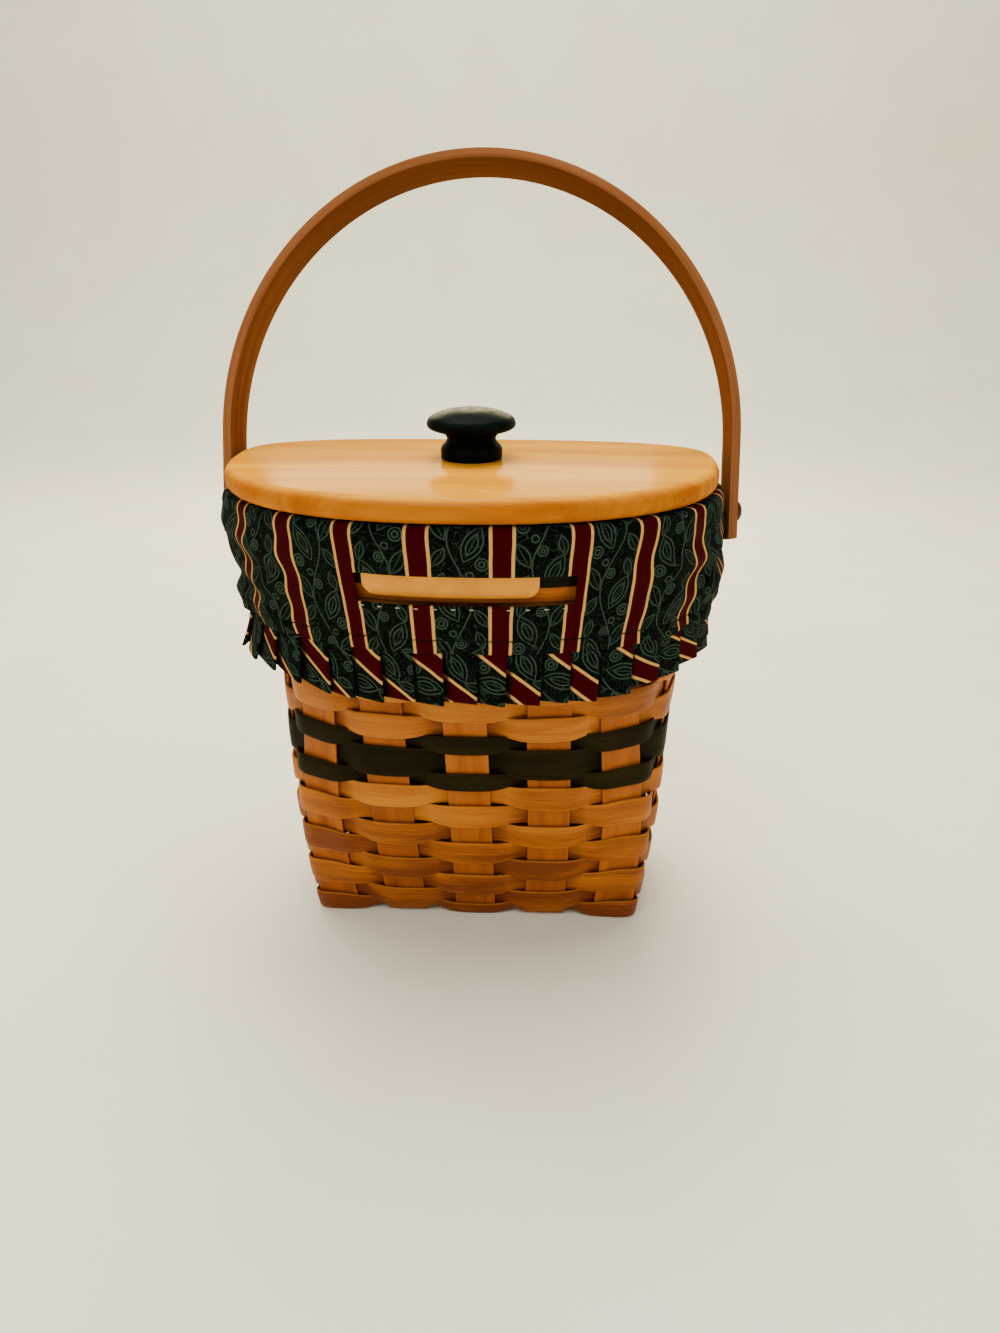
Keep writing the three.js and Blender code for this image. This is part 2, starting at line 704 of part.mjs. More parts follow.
// Knob: a foot, a waisted neck and a softly domed cap
const knobCurve = new THREE.SplineCurve([
  new THREE.Vector2(knobFootRadius, 0.09 * knobHeight),
  new THREE.Vector2(knobFootRadius * 0.93, 0.17 * knobHeight),
  new THREE.Vector2(knobNeckRadius, 0.36 * knobHeight),
  new THREE.Vector2(knobNeckRadius * 1.22, 0.5 * knobHeight),
  new THREE.Vector2(knobRadius * 0.93, 0.6 * knobHeight),
  new THREE.Vector2(knobRadius, 0.7 * knobHeight),
  new THREE.Vector2(knobRadius * 0.9, 0.84 * knobHeight),
  new THREE.Vector2(knobRadius * 0.5, 0.97 * knobHeight),
  new THREE.Vector2(0, knobHeight),
]);
const knobSide = knobCurve.getPoints(knobSteps).map((point) => [Math.max(point.x, 0), point.y]);
const knobProfile = [[0, 0], [knobFootRadius, 0], ...knobSide];
const knobDepth = screwReach + screwClearance;
const knobDrill = new THREE.CylinderGeometry(screwHole, screwHole, 2 * knobDepth, turnedSteps)
  .rotateX(Math.PI / 2);
const knob = addPiece(lid, 'knob', cutAway(turned(knobProfile), knobDrill), knobGreen, 0.25);
knob.position.set(0, 0, lidThickness + splintGap);
const screwTip = lidThickness + splintGap + screwReach;
const screwProfile = [
  [0, -splintGap - screwHeadHeight], [screwHeadRadius * 0.8, -splintGap - screwHeadHeight],
  [screwHeadRadius, -splintGap - screwHeadHeight / 2], [screwHeadRadius, -splintGap],
  [screwRadius, -splintGap], [screwRadius, screwTip - screwRadius], [0, screwTip],
];
addPiece(lid, 'knob_screw', turned(screwProfile), steel, 0.3, 1);
basket.add(lid);

export default basket;
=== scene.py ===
import math
from contextlib import contextmanager

import bpy
import numpy as np
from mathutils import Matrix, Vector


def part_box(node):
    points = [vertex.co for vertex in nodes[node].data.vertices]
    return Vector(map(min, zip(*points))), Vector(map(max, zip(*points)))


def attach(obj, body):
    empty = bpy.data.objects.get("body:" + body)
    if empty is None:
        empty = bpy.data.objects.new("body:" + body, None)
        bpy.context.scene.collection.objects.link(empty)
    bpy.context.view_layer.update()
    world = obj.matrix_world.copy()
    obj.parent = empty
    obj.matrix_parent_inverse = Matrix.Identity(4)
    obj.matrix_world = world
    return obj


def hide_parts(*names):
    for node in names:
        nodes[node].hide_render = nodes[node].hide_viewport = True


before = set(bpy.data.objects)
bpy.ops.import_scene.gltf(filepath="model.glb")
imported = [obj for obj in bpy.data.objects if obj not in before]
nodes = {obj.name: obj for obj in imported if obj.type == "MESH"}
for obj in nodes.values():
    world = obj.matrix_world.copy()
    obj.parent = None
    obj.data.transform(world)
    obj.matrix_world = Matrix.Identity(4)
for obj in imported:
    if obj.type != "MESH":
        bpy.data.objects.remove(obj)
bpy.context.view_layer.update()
bpy.ops.object.select_all(action="DESELECT")
dice = np.random.default_rng(23)
mm = 0.001
print("frame loaded,", len(nodes), "nodes")


# a dictionary whose values are read by name
class Sizes(dict):
    __getattr__ = dict.__getitem__


def mixed(low, high, share):
    return low + (high - low) * share


def smoothStep(value, low, high):
    share = np.clip((np.asarray(value, float) - low) / (high - low), 0, 1)
    return share * share * (3 - 2 * share)


# a hump that is one at its place
def bell(value, place, wide):
    return np.exp(-((value - place) / wide) ** 2)


# a soft random line round the basket, between about -1 and 1
def wander(station, turns, seed):
    roll = np.random.default_rng(seed)
    line = np.zeros(np.shape(station))
    for turn in range(1, turns + 1):
        line = line + roll.normal() * np.cos(math.pi / 2 * turn * np.asarray(station) + roll.uniform(0, 6.3))
    return line / math.sqrt(turns)


# length along a line, from its start to each of its points
def runAlong(line, ring=False):
    steps = np.roll(line, -1, 0) - line if ring else np.diff(line, axis=0)
    return np.append(0, np.cumsum(np.linalg.norm(steps, axis=1)))


# the wall that all the splints follow, in millimetres, as the solids have it
wall = Sizes(
    height=236, baseLength=89.8, baseDepth=40.4, basePower=20, rimLength=117.5, rimFront=92, rimBack=42,
    frontPower=2.25, backPower=3, widest=8, squareFade=4.6, outlineSteps=48, perQuarter=120, gridStep=2.0,
    gridEnd=253)


# one quarter of a superellipse, from the middle of a long side to its end
def cornerLine(steps, length, depth, power):
    turn = np.linspace(0, math.pi / 2, steps)
    return length * np.sin(turn) ** (2 / power), depth * np.cos(turn).clip(0) ** (2 / power)


def quarterLine(length, depth, power):
    x, y = cornerLine(wall.outlineSteps + 1, length, depth, power)
    y[-1] = 0
    run = runAlong(np.stack([x, y], 1))
    at = np.linspace(0, run[-1], wall.perQuarter + 1)
    return np.interp(at, run, x), np.interp(at, run, y), run[-1]


def wallRing(z):
    rise = z / wall.height
    square = max(0, 1 - rise) ** wall.squareFade
    length = mixed(wall.baseLength, wall.rimLength, rise)
    front, back = (mixed(wall.baseDepth, depth, rise) for depth in (wall.rimFront, wall.rimBack))
    fx, fy, foreRun = quarterLine(length, front, mixed(wall.frontPower, wall.basePower, square))
    bx, by, rearRun = quarterLine(length, back, mixed(wall.backPower, wall.basePower, square))
    x = np.concatenate([fx[:-1], bx[:0:-1], -bx[:-1], -fx[:0:-1]])
    y = np.concatenate([-fy[:-1], by[:0:-1], by[:-1], -fy[:0:-1]])
    return np.stack([x, y + wall.widest * rise], 1), foreRun, rearRun


levels = np.arange(0, wall.gridEnd, wall.gridStep)
wallGrid, foreRuns, rearRuns = (np.array(part) for part in zip(*[wallRing(z) for z in levels]))


# stations run round the wall: 0 front middle, 1 right end, 2 back middle, 3 left end
def onWall(station, z):
    station, z = np.broadcast_arrays(np.asarray(station, float), np.asarray(z, float))
    count = wallGrid.shape[1]
    across = np.mod(station, 4) * wall.perQuarter
    i = np.floor(across).astype(int) % count
    up = np.clip(z / wall.gridStep, 0, len(levels) - 1.001)
    j = np.floor(up).astype(int)
    s, t = (across - np.floor(across))[..., None], (up - j)[..., None]
    low = wallGrid[j, i] * (1 - s) + wallGrid[j, (i + 1) % count] * s
    high = wallGrid[j + 1, i] * (1 - s) + wallGrid[j + 1, (i + 1) % count] * s
    return low * (1 - t) + high * t


def sideways(ahead):
    side = np.stack([ahead[..., 1], -ahead[..., 0]], -1)
    return side / np.linalg.norm(side, axis=-1, keepdims=True)


def outward(station, z, step=0.01):
    return sideways(onWall(np.asarray(station) + step, z) - onWall(np.asarray(station) - step, z))


def offWall(station, z, reach):
    place = onWall(station, z) + outward(station, z) * np.asarray(reach)[..., None]
    return np.concatenate([place, np.broadcast_to(z, place.shape[:-1])[..., None]], -1)


def quarterRun(station, z):
    turn = np.mod(station, 4)
    fore, rear = np.interp(z, levels, foreRuns), np.interp(z, levels, rearRuns)
    return np.where((turn > 1) & (turn < 3), rear, fore)


# stations from a place to the one given, the short way round
def pastStation(station, place=0):
    return np.mod(station - place + 2, 4) - 2


# mesh makers
def newPiece(name, places, edges, faces, scale=mm):
    mesh = bpy.data.meshes.new(name)
    mesh.from_pydata((np.array(places) * scale).tolist(), edges, faces)
    piece = bpy.data.objects.new(name, mesh)
    bpy.context.scene.collection.objects.link(piece)
    return piece


def selectOnly(piece):
    bpy.ops.object.select_all(action="DESELECT")
    piece.select_set(True)
    bpy.context.view_layer.objects.active = piece


@contextmanager
def allSelected(piece):
    selectOnly(piece)
    bpy.ops.object.mode_set(mode="EDIT")
    bpy.ops.mesh.select_all(action="SELECT")
    yield
    bpy.ops.object.mode_set(mode="OBJECT")


def faceOut(piece, merge=0.0):
    with allSelected(piece):
        if merge:
            bpy.ops.mesh.remove_doubles(threshold=merge)
        bpy.ops.mesh.normals_make_consistent(inside=False)


def applyAll(piece):
    selectOnly(piece)
    for modifier in list(piece.modifiers):
        bpy.ops.object.modifier_apply(modifier=modifier.name)


def smoothShade(piece, angle):
    selectOnly(piece)
    bpy.ops.object.shade_smooth_by_angle(angle=math.radians(angle))


# quads over a grid of places in millimetres, closed round either way, with a map in metres
def gridPiece(name, places, along, across, ring, tube, keep=None, marks=None):
    count, width = places.shape[:2]
    spans = count if ring else count - 1
    steps = width if tube else width - 1
    i, j = (axis.ravel() for axis in np.meshgrid(np.arange(spans), np.arange(steps), indexing="ij"))
    if keep is not None:
        wanted = keep[i, j]
        i, j = i[wanted], j[wanted]
    i2, j2 = (i + 1) % count, (j + 1) % width
    quads = np.stack([i * width + j, i2 * width + j, i2 * width + j2, i * width + j2], 1).tolist()
    if tube and not ring:
        quads += [list(range(width))[::-1], [(count - 1) * width + k for k in range(width)]]
    piece = newPiece(name, places.reshape(-1, 3), [], quads)
    mesh = piece.data
    if np.ndim(along) == 1:
        along, across = np.broadcast_arrays(along[:, None], across[None])
    corners = ((i, j), (i + 1, j), (i + 1, j + 1), (i, j + 1))
    flat = np.stack([np.stack([along[a, b], across[a, b]], 1) for a, b in corners], 1).reshape(-1, 2)
    uv = np.zeros((len(mesh.loops), 2))
    uv[:len(flat)] = flat * mm
    mesh.uv_layers.new(name="grain").data.foreach_set("uv", uv.ravel())
    for mark, values in (marks or {}).items():
        layer = mesh.attributes.new(mark, "FLOAT", "POINT")
        layer.data.foreach_set("value", np.broadcast_to(values, (count, width)).astype(np.float32).ravel())
    mesh.validate()
    if tube:
        faceOut(piece)
    return piece


# a face with that outline, pulled up to its thickness and rounded along its edges
def boardPiece(name, outline, bottom, thick, edge, segments):
    piece = newPiece(name, [(x, y, bottom) for x, y in outline], [], [list(range(len(outline)))])
    with allSelected(piece):
        bpy.ops.mesh.extrude_region_move(TRANSFORM_OT_translate={"value": (0, 0, thick * mm)})
    faceOut(piece)
    rounding = piece.modifiers.new("edges", "BEVEL")
    rounding.width = edge * mm
    rounding.segments = segments
    rounding.limit_method = "ANGLE"
    rounding.angle_limit = math.radians(50)
    applyAll(piece)
    smoothShade(piece, 30)
    return piece


# a half profile of (radius, distance) spun about a line through a point
def spunPiece(name, profile, centre, axis, steps=64, angle=35):
    centre, axis, side = np.array(centre, float), np.array(axis, float), np.array([0, 1, 0])
    places = [centre + axis * distance + side * radius for radius, distance in profile]
    piece = newPiece(name, places, [(k, k + 1) for k in range(len(places) - 1)], [])
    with allSelected(piece):
        bpy.ops.mesh.spin(steps=steps, angle=2 * math.pi, center=tuple(centre * mm), axis=tuple(axis))
    faceOut(piece, merge=0.00001)
    smoothShade(piece, angle)
    return piece


def dress(piece, material):
    piece.data.materials.clear()
    piece.data.materials.append(material)


def finishPiece(piece, body, material, slot, *replaced):
    dress(piece, material)
    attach(piece, body)
    if replaced:
        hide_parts(*replaced)
    return piece


# a colour as a screen shows it, for the shader
def shade(red, green, blue):
    parts = [value / 255 for value in (red, green, blue)]
    return [p / 12.92 if p <= 0.04045 else ((p + 0.055) / 1.055) ** 2.4 for p in parts] + [1]


# the output of a shader node, for sums with other outputs and with numbers
class Value:
    def __init__(self, finish, socket):
        self.finish = finish
        self.socket = socket

    def maths(self, operation, *others):
        return self.finish.node("Math", enumerate((self, *others)), operation=operation)

    def __add__(self, other):
        return self.maths("ADD", other)

    def __sub__(self, other):
        return self.maths("SUBTRACT", other)

    def __rsub__(self, other):
        return self.maths("MULTIPLY_ADD", -1.0, other)

    def __mul__(self, other):
        return self.maths("MULTIPLY", other)

    def __truediv__(self, other):
        return self.maths("DIVIDE", other)

    def __abs__(self):
        return self.maths("ABSOLUTE")

    # eased from one span of values to another
    def spread(self, low, high, newLow=0.0, newHigh=1.0):
        inputs = enumerate((self, low, high, newLow, newHigh))
        return self.finish.node("MapRange", inputs, interpolation_type="SMOOTHSTEP")

    # colours between stops, each a place and a shade
    def stained(self, *stops):
        colour = self.finish.node("ValToRGB", {0: self})
        elements = colour.socket.node.color_ramp.elements
        while len(elements) < len(stops):
            elements.new(0.5)
        for element, (place, *parts) in zip(elements, stops):
            element.position = place
            element.color = shade(*parts)
        return colour


# a material and the nodes that feed its shader
class Finish:
    def __init__(self, name, rough, coat=0.0, coatRough=0.2, sheen=0.0, shine=0.5, metal=0.0):
        self.material = bpy.data.materials.new(name)
        self.material.use_nodes = True
        self.tree = self.material.node_tree
        self.shader = self.tree.nodes["Principled BSDF"]
        self.feed(self.shader, {"Roughness": rough, "Coat Weight": coat, "Coat Roughness": coatRough,
                                "Sheen Weight": sheen, "Specular IOR Level": shine, "Metallic": metal})

    def feed(self, node, inputs):
        for socket, value in inputs.items():
            if isinstance(value, Value):
                self.tree.links.new(value.socket, node.inputs[socket])
            else:
                node.inputs[socket].default_value = value

    def node(self, kind, inputs=(), output=0, **settings):
        node = self.tree.nodes.new("ShaderNode" + kind)
        for name, value in settings.items():
            setattr(node, name, value)
        self.feed(node, dict(inputs))
        return Value(self, node.outputs[output])

    def grain(self):
        return self.node("UVMap", uv_map="grain")

    def place(self):
        return self.node("TexCoord", output="Object")

    def mark(self, name):
        return self.node("Attribute", output="Fac", attribute_name=name)

    def part(self, vector, axis):
        return self.node("SeparateXYZ", {0: vector}, axis)

    # at one scale, or at one for each way
    def noise(self, vector, scale, detail, rough, bend=0.0):
        if isinstance(scale, tuple):
            vector = self.node("Mapping", {"Vector": vector, "Scale": scale})
            scale = 1
        return self.node("TexNoise", {"Vector": vector, "Scale": scale, "Detail": detail, "Roughness": rough,
                                      "Distortion": bend})

    def layered(self, factor, under, over):
        return self.node("Mix", {0: factor, 6: under, 7: over}, 2, data_type="RGBA")

    # roughness is a value and the span it goes over
    def done(self, colour, roughness=None, height=None, strength=0.0, distance=0.0):
        inputs = {"Base Color": colour}
        if roughness:
            inputs["Roughness"] = roughness[0].spread(0.3, 0.7, *roughness[1:])
        if height:
            relief = {"Strength": strength, "Distance": distance, "Height": height}
            inputs["Normal"] = self.node("Bump", relief)
        self.feed(self.shader, inputs)
        return self.material

    # one noise that stains the piece, and may also roughen and raise it
    def mottled(self, scale, detail, rough, stops, roughSpan=None, strength=0.0, distance=0.0):
        mottle = self.noise(self.place(), scale, detail, rough)
        roughness = (mottle, *roughSpan) if roughSpan else None
        height = mottle if strength else None
        return self.done(mottle.stained(*stops), roughness, height, strength, distance)


# stained splint: fine streaks along the strip, blotches, lighter worn edges
def splintFinish(name, dark, middle, light, worn, edgeShare, streaks=0.45, rough=0.48, shine=0.18):
    finish = Finish(name, rough, 0.02, 0.35, 0, shine)
    uv = finish.grain()
    streak = finish.noise(uv, (45, 1500, 1), 4, 0.6, 0.4)
    broad = finish.noise(uv, (14, 120, 1), 3, 0.5, 0.6)
    pores = finish.noise(uv, (240, 4200, 1), 2, 0.5)
    mix = streak * streaks + broad * (1 - streaks) + finish.mark("tone") * 0.16
    colour = mix.stained((0.26, *dark), (0.5, *middle), (0.74, *light))
    edge = (finish.mark("edge") + pores * 0.14).spread(0.93, 1.06)
    colour = finish.layered(edge * edgeShare, colour, shade(*worn))
    colour = finish.layered(pores.spread(0.6, 0.74, 0, 0.3), colour, shade(*dark))
    return finish.done(colour, (streak, rough - 0.08, rough + 0.12), streak + pores * 0.6, 0.35, 0.0004)


honeySplint = splintFinish("honey_splint", (114, 50, 0), (176, 96, 2), (208, 131, 13), (214, 134, 22), 0.4)
ribSplint = splintFinish("upright_splint", (122, 56, 0), (164, 82, 0), (188, 104, 2), (190, 110, 12), 0.35,
                         streaks=0.3)
greenSplint = splintFinish("green_splint", (10, 7, 0), (26, 20, 2), (40, 32, 6), (56, 44, 14), 0.4,
                           rough=0.55, shine=0.04)


# uprights: down one wall, across the floor and up the other wall
splints = Sizes(
    width=22, thick=1.6, gap=0.35, crossPitch=38.4, crossCount=5, longPitch=40, ramp=5, bendRun=1,
    bendHeight=5, bendTurns=[0.12, 0.25, 0.4, 0.55, 0.7, 0.85, 1], top=235.5, wallRows=72, floorRows=90,
    leanIn=0.136, leanLeft=0.016, leanRun=115, leanTop=130, leanFade=(0.62, 0.8), worn=0.98, toneSpread=0.5,
    mapShift=900, stainAt=[0, 70, 150], stain=[-0.5, 0, 0.3],
    across=[-11, -11, -10.5, -5, 0, 5, 10.5, 11, 11, 10.5, 0, -10.5],
    face=[-0.4, 0.4, 0.8, 0.8, 0.8, 0.8, 0.8, 0.4, -0.4, -0.8, -0.8, -0.8])
baseQuarter = foreRuns[0]
crossPlaces = (np.arange(splints.crossCount) - (splints.crossCount - 1) / 2) * splints.crossPitch
longPlaces = np.array([-0.5, 0.5]) * splints.longPitch
stations = np.concatenate([crossPlaces / baseQuarter, 2 - crossPlaces / baseQuarter,
                           1 + longPlaces / baseQuarter, 3 + longPlaces / baseQuarter])
stations = 2 + np.sort(np.mod(stations - 2, 4))  # from the back, where the weavers' grain begins


# uprights lean in towards the middle of the front and back as they rise, at the front a little to the left
def leaned(station, z):
    station = np.asarray(station, float)
    away = np.mod(station + 1, 2) - 1
    front = np.abs(pastStation(station)) < 1
    inner = 1 - smoothStep(np.abs(away), *splints.leanFade)
    lean = splints.leanIn * away * np.abs(away) + np.where(front, splints.leanLeft, 0)
    return station - np.minimum(z, splints.leanTop) / splints.leanRun * inner * lean


def flatPoint(station, z):
    return np.append(onWall(station, z), z)


# left edge, right edge and facing of a splint from the rim down to the floor
def wallEdges(station, floorEdges):
    rows = []
    for z in np.linspace(splints.top, splints.bendHeight, splints.wallRows):
        place = leaned(station, z)
        side = splints.width / 2 / quarterRun(place, z)
        rows.append((flatPoint(place - side, z), flatPoint(place + side, z), np.append(outward(place, z), 0)))
    *edges, facing = rows[-1]
    for turn in splints.bendTurns:
        pair = []
        for start, end in zip(edges, floorEdges):
            corner = np.array([start[0], start[1], end[2]])
            pair.append(start * (1 - turn) ** 2 + corner * 2 * turn * (1 - turn) + end * turn ** 2)
        lean = facing * (1 - turn) + np.array([0, 0, -1]) * turn
        rows.append((*pair, lean / np.linalg.norm(lean)))
    return rows


def floorHeight(along, overAt):
    lift = 0
    for crossing in overAt:
        away = abs(along - crossing) - splints.width / 2 - splints.gap
        lift = max(lift, min(1, max(0, 1 - away / splints.ramp)))
    return splints.thick / 2 + lift * (splints.thick + splints.gap)


def makeSplint(name, first, second, overAt):
    start, end = flatPoint(first, 0), flatPoint(second, 0)
    reach = np.linalg.norm(end - start) / 2 - splints.bendRun
    path = (end - start) / np.linalg.norm(end - start)
    sidePath = np.cross(path, [0, 0, 1])
    half = splints.width / 2

    def floorPoint(along, side):
        place = (start + end) / 2 + path * along + sidePath * side
        return np.array([place[0], place[1], floorHeight(along, overAt)])

    rows = wallEdges(first, (floorPoint(-reach, -half), floorPoint(-reach, half)))
    for along in np.linspace(-reach, reach, splints.floorRows)[1:-1]:
        rows.append((floorPoint(along, -half), floorPoint(along, half), np.array([0, 0, -1.0])))
    back = wallEdges(second, (floorPoint(reach, half), floorPoint(reach, -half)))
    rows += [(right, left, facing) for left, right, facing in back[::-1]]
    left, right, facing = (np.array(part) for part in zip(*rows))
    across, face = np.array(splints.across), np.array(splints.face)
    share = (across + half) / splints.width
    places = left[:, None] + (right - left)[:, None] * share[:, None] + facing[:, None] * face[:, None]
    middle = (left + right) / 2
    edge = (np.abs(across) / half)[None] * splints.worn
    tone = dice.uniform(-splints.toneSpread, splints.toneSpread)
    # painted shade: the uprights are darker towards the bottom
    tone = tone + np.interp(middle[:, 2], splints.stainAt, splints.stain)[:, None]
    along = runAlong(middle) + dice.uniform(0, splints.mapShift)
    piece = gridPiece(name, places, along, np.append(across, across[0]), False, True,
                      marks={"edge": edge, "tone": tone})
    smoothShade(piece, 50)
    return finishPiece(piece, "basket", ribSplint, "upright_splint", name.replace("woven_", ""))


for k, place in enumerate(crossPlaces):
    over = [spot for j, spot in enumerate(longPlaces) if (k + j) % 2 == 0]
    makeSplint(f"woven_cross_splint_{k + 1}", place / baseQuarter, 2 - place / baseQuarter, over)
for j, place in enumerate(longPlaces):
    over = [spot for k, spot in enumerate(crossPlaces) if (k + j) % 2 == 1]
    makeSplint(f"woven_long_splint_{j + 1}", 3 - place / baseQuarter, 1 + place / baseQuarter, over)
print("uprights done")


# weavers: rows that bow out over every second upright and pass behind the others
weave = Sizes(
    bottom=4.3, firstPitch=5.2, pitch=11.64, lowerRows=8, greenNarrow=8.2, greenWide=15.6, bandBottom=201,
    bandGap=0.3, upperRows=7, thick=1.2, reach=2.05, flatness=1.6, lap=0.7, swell=2.5, swellPower=1.5,
    overDrop=1.0, crown=0.35, samples=24, smoothings=3, ribRoom=0.4, cornerAt=0.31, cornerWide=0.1,
    cornerBow=1.7, bowFade=(70, 125), cornerRise=2.1, riseFade=(95, 140), frontDip=-3.8, frontLift=0.6,
    dipFade=(42, 92), firstInside=(4.5, 9.6), firstOutside=(0.5, 12.2), firstFront=7.2, waver=0.22,
    edgeWaver=0.12, reachWaver=0.2, toneWaver=0.28, spanTone=0.38, insideTone=0.9, toneFade=(0.3, 0.7),
    mapShift=(3000, 400), stainAt=[15, 62, 85, 130, 190], stain=[-1.4, -0.4, 0.4, -0.2, 0.6],
    across=[-1, -0.985, -0.94, -0.5, 0, 0.5, 0.94, 0.985, 1, 0.985, 0.94, 0, -0.94, -0.985],
    face=[0, 0.75, 1, 1, 1, 1, 1, 0.75, 0, -0.75, -1, -1, -1, -0.75])
lowerTop = weave.bottom + weave.firstPitch + (weave.lowerRows - 1) * weave.pitch
upperPitch = (weave.bandBottom - lowerTop - 2 * weave.greenNarrow - weave.greenWide) / weave.upperRows
rowList = [("weaver_lower_1", weave.firstPitch)]
rowList += [(f"weaver_lower_{k + 1}", weave.pitch) for k in range(1, weave.lowerRows)]
rowList += [("weaver_green_lower", weave.greenNarrow), ("weaver_green_wide", weave.greenWide),
            ("weaver_green_upper", weave.greenNarrow)]
rowList += [(f"weaver_upper_{k + 1}", upperPitch) for k in range(weave.upperRows)]
ringPhase = np.tile(np.arange(weave.samples) / weave.samples, len(stations))
ringRib = np.repeat(np.arange(len(stations)), weave.samples)


# stations round the basket at a height, in equal steps from upright to upright, and the upright next to each
def ringAt(z):
    ribs = leaned(stations, z)
    before, after = ribs[ringRib], np.append(ribs[1:], ribs[0] + 4)[ringRib]
    return mixed(before, after, ringPhase), np.where(ringPhase < 0.5, before, after)


# flat across each upright, and along the wall between them
def ribbedWall(z, around, nearRib):
    around, nearRib = around[:, None], nearRib[:, None]
    half = (splints.width / 2 + weave.ribRoom) / quarterRun(nearRib, z)
    across = np.clip((around - nearRib) / half + 1, 0, 2)[..., None] / 2
    chord = onWall(nearRib - half, z) * (1 - across) + onWall(nearRib + half, z) * across
    place = np.where((np.abs(around - nearRib) < half)[..., None], chord, onWall(around, z))
    for _ in range(weave.smoothings):
        place = (np.roll(place, 1, 0) + 2 * place + np.roll(place, -1, 0)) / 4
    return place, sideways(np.roll(place, -1, 0) - np.roll(place, 1, 0))


# one where a height is low, fading to nothing
def lowShare(height, fade):
    return 1 - float(smoothStep(height, *fade))


# lower and upper edge of a row. The first is narrow at the front, and meets the table outside the uprights.
def rowEdges(row, pitch, middle, around, lift, cornerShare):
    frontRibs = crossPlaces[-2:] / baseQuarter
    frontShare = 1 - smoothStep(np.abs(pastStation(around)), *frontRibs)
    if row == 0:
        outside = (lift + 1) / 2
        (lowIn, highIn), (lowOut, highOut) = weave.firstInside, weave.firstOutside
        lowEdge = mixed(mixed(lowIn, lowOut, outside), lowOut, cornerShare)
        return lowEdge, mixed(highIn, mixed(highOut, weave.firstFront, frontShare), outside)
    dip = 0
    if middle <= weave.riseFade[1]:
        rise = weave.cornerRise * lowShare(middle, weave.riseFade)
        dip = mixed(rise, mixed(weave.frontLift, weave.frontDip, lowShare(middle, weave.dipFade)), frontShare)
    centre = middle + dip - weave.overDrop * lift + weave.waver * wander(around, 9, 40 + row)
    swell = weave.swell * np.abs(lift) ** weave.swellPower
    height = pitch + weave.lap + swell + weave.edgeWaver * wander(around, 14, 80 + row)
    highEdge = centre + height / 2
    if row == len(rowList) - 1:
        highEdge = np.minimum(highEdge, weave.bandBottom - weave.bandGap)
    return centre - height / 2, highEdge


def makeWeaver(row, name, pitch, bottom, material, slot):
    sign = np.where((ringRib + row) % 2, 1.0, -1.0)
    lift = np.tanh(weave.flatness * sign * np.cos(math.pi * ringPhase)) / math.tanh(weave.flatness)
    bowed = np.maximum(lift, 0)
    middle = bottom + pitch / 2
    around, nearRib = ringAt(middle)
    cornerShare = bell(np.abs(np.abs(pastStation(around)) - 1), weave.cornerAt, weave.cornerWide)
    lowEdge, highEdge = rowEdges(row, pitch, middle, around, lift, cornerShare)
    across, face = np.array(weave.across), np.array(weave.face)
    z = lowEdge[:, None] + (highEdge - lowEdge)[:, None] * (across + 1) / 2
    place, side = ribbedWall(z, around, nearRib)
    bow = weave.cornerBow * cornerShare * lowShare(middle, weave.bowFade) * bowed
    reach = (weave.reach + weave.reachWaver * wander(around, 12, 120 + row)) * lift + bow
    offset = reach[:, None] + weave.crown * (1 - across ** 2) * bowed[:, None] + face * weave.thick / 2
    places = np.concatenate([place + side * offset[..., None], z[..., None]], -1)
    mapAlong = runAlong(places[:, 4], True) + dice.uniform(0, weave.mapShift[0])
    mapAcross = np.append(across, across[0]) * pitch / 2 + dice.uniform(0, weave.mapShift[1])
    spans = np.random.default_rng(300 + row).normal(0, weave.spanTone, len(stations))
    nextSpan = spans[(ringRib + 1) % len(stations)]
    spanTone = mixed(spans[ringRib], nextSpan, smoothStep(ringPhase, *weave.toneFade))
    # painted shade that darkens the lower rows, with a tone that also differs by height and at random
    # painted shade: spans that pass behind an upright are darker
    tone = (np.interp(middle, weave.stainAt, weave.stain) + spanTone
            + weave.toneWaver * wander(around, 8, 160 + row) - weave.insideTone * np.maximum(-lift, 0))
    piece = gridPiece(name + "_strip", places, mapAlong, mapAcross, True, True,
                      marks={"edge": np.abs(across)[None], "tone": tone[:, None]})
    smoothShade(piece, 60)
    return finishPiece(piece, "basket", material, slot, name)


rowBottom = weave.bottom
for row, (name, pitch) in enumerate(rowList):
    look = (greenSplint, "green_weaver") if "green" in name else (honeySplint, "honey_weaver")
    makeWeaver(row, name, pitch, rowBottom, *look)
    rowBottom += pitch
print("weavers done,", len(rowList), "rows, top at", round(rowBottom, 1))


# rim bands and the green strip keep their solids, with grain that runs round the basket
def bandFinish(name, dark, middle, light, rough, shine=0.2):
    finish = Finish(name, rough, 0.02, 0.35, 0, shine)
    place = finish.place()
    streak = finish.noise(place, (30, 30, 1300), 4, 0.6, 0.5)
    broad = finish.noise(place, (16, 16, 110), 3, 0.5, 0.4)
    colour = (streak * 0.5 + broad * 0.5).stained((0.28, *dark), (0.5, *middle), (0.72, *light))
    return finish.done(colour, (streak, rough - 0.08, rough + 0.12), streak, 0.3, 0.0004)


rimWood = bandFinish("rim_band_wood", (132, 58, 0), (184, 94, 4), (212, 124, 14), 0.45)
greenStrip = bandFinish("green_strip", (8, 6, 0), (20, 16, 3), (32, 27, 7), 0.55, 0.05)
spacerWood = bandFinish("spacer_wood", (92, 44, 12), (136, 74, 27), (160, 96, 42), 0.5)
steel = Finish("plain_steel", 0.34, metal=1.0).mottled(
    (400, 5200, 900), 3, 0.6, [(0.3, 128, 126, 120), (0.7, 190, 188, 182)], (0.26, 0.44), 0.15, 0.0002)
for nodeName, material in (("rim_outer_band", rimWood), ("rim_inner_band", rimWood),
                           ("rim_trim_strip", greenStrip), ("knob_screw", steel)):
    dress(nodes[nodeName], material)


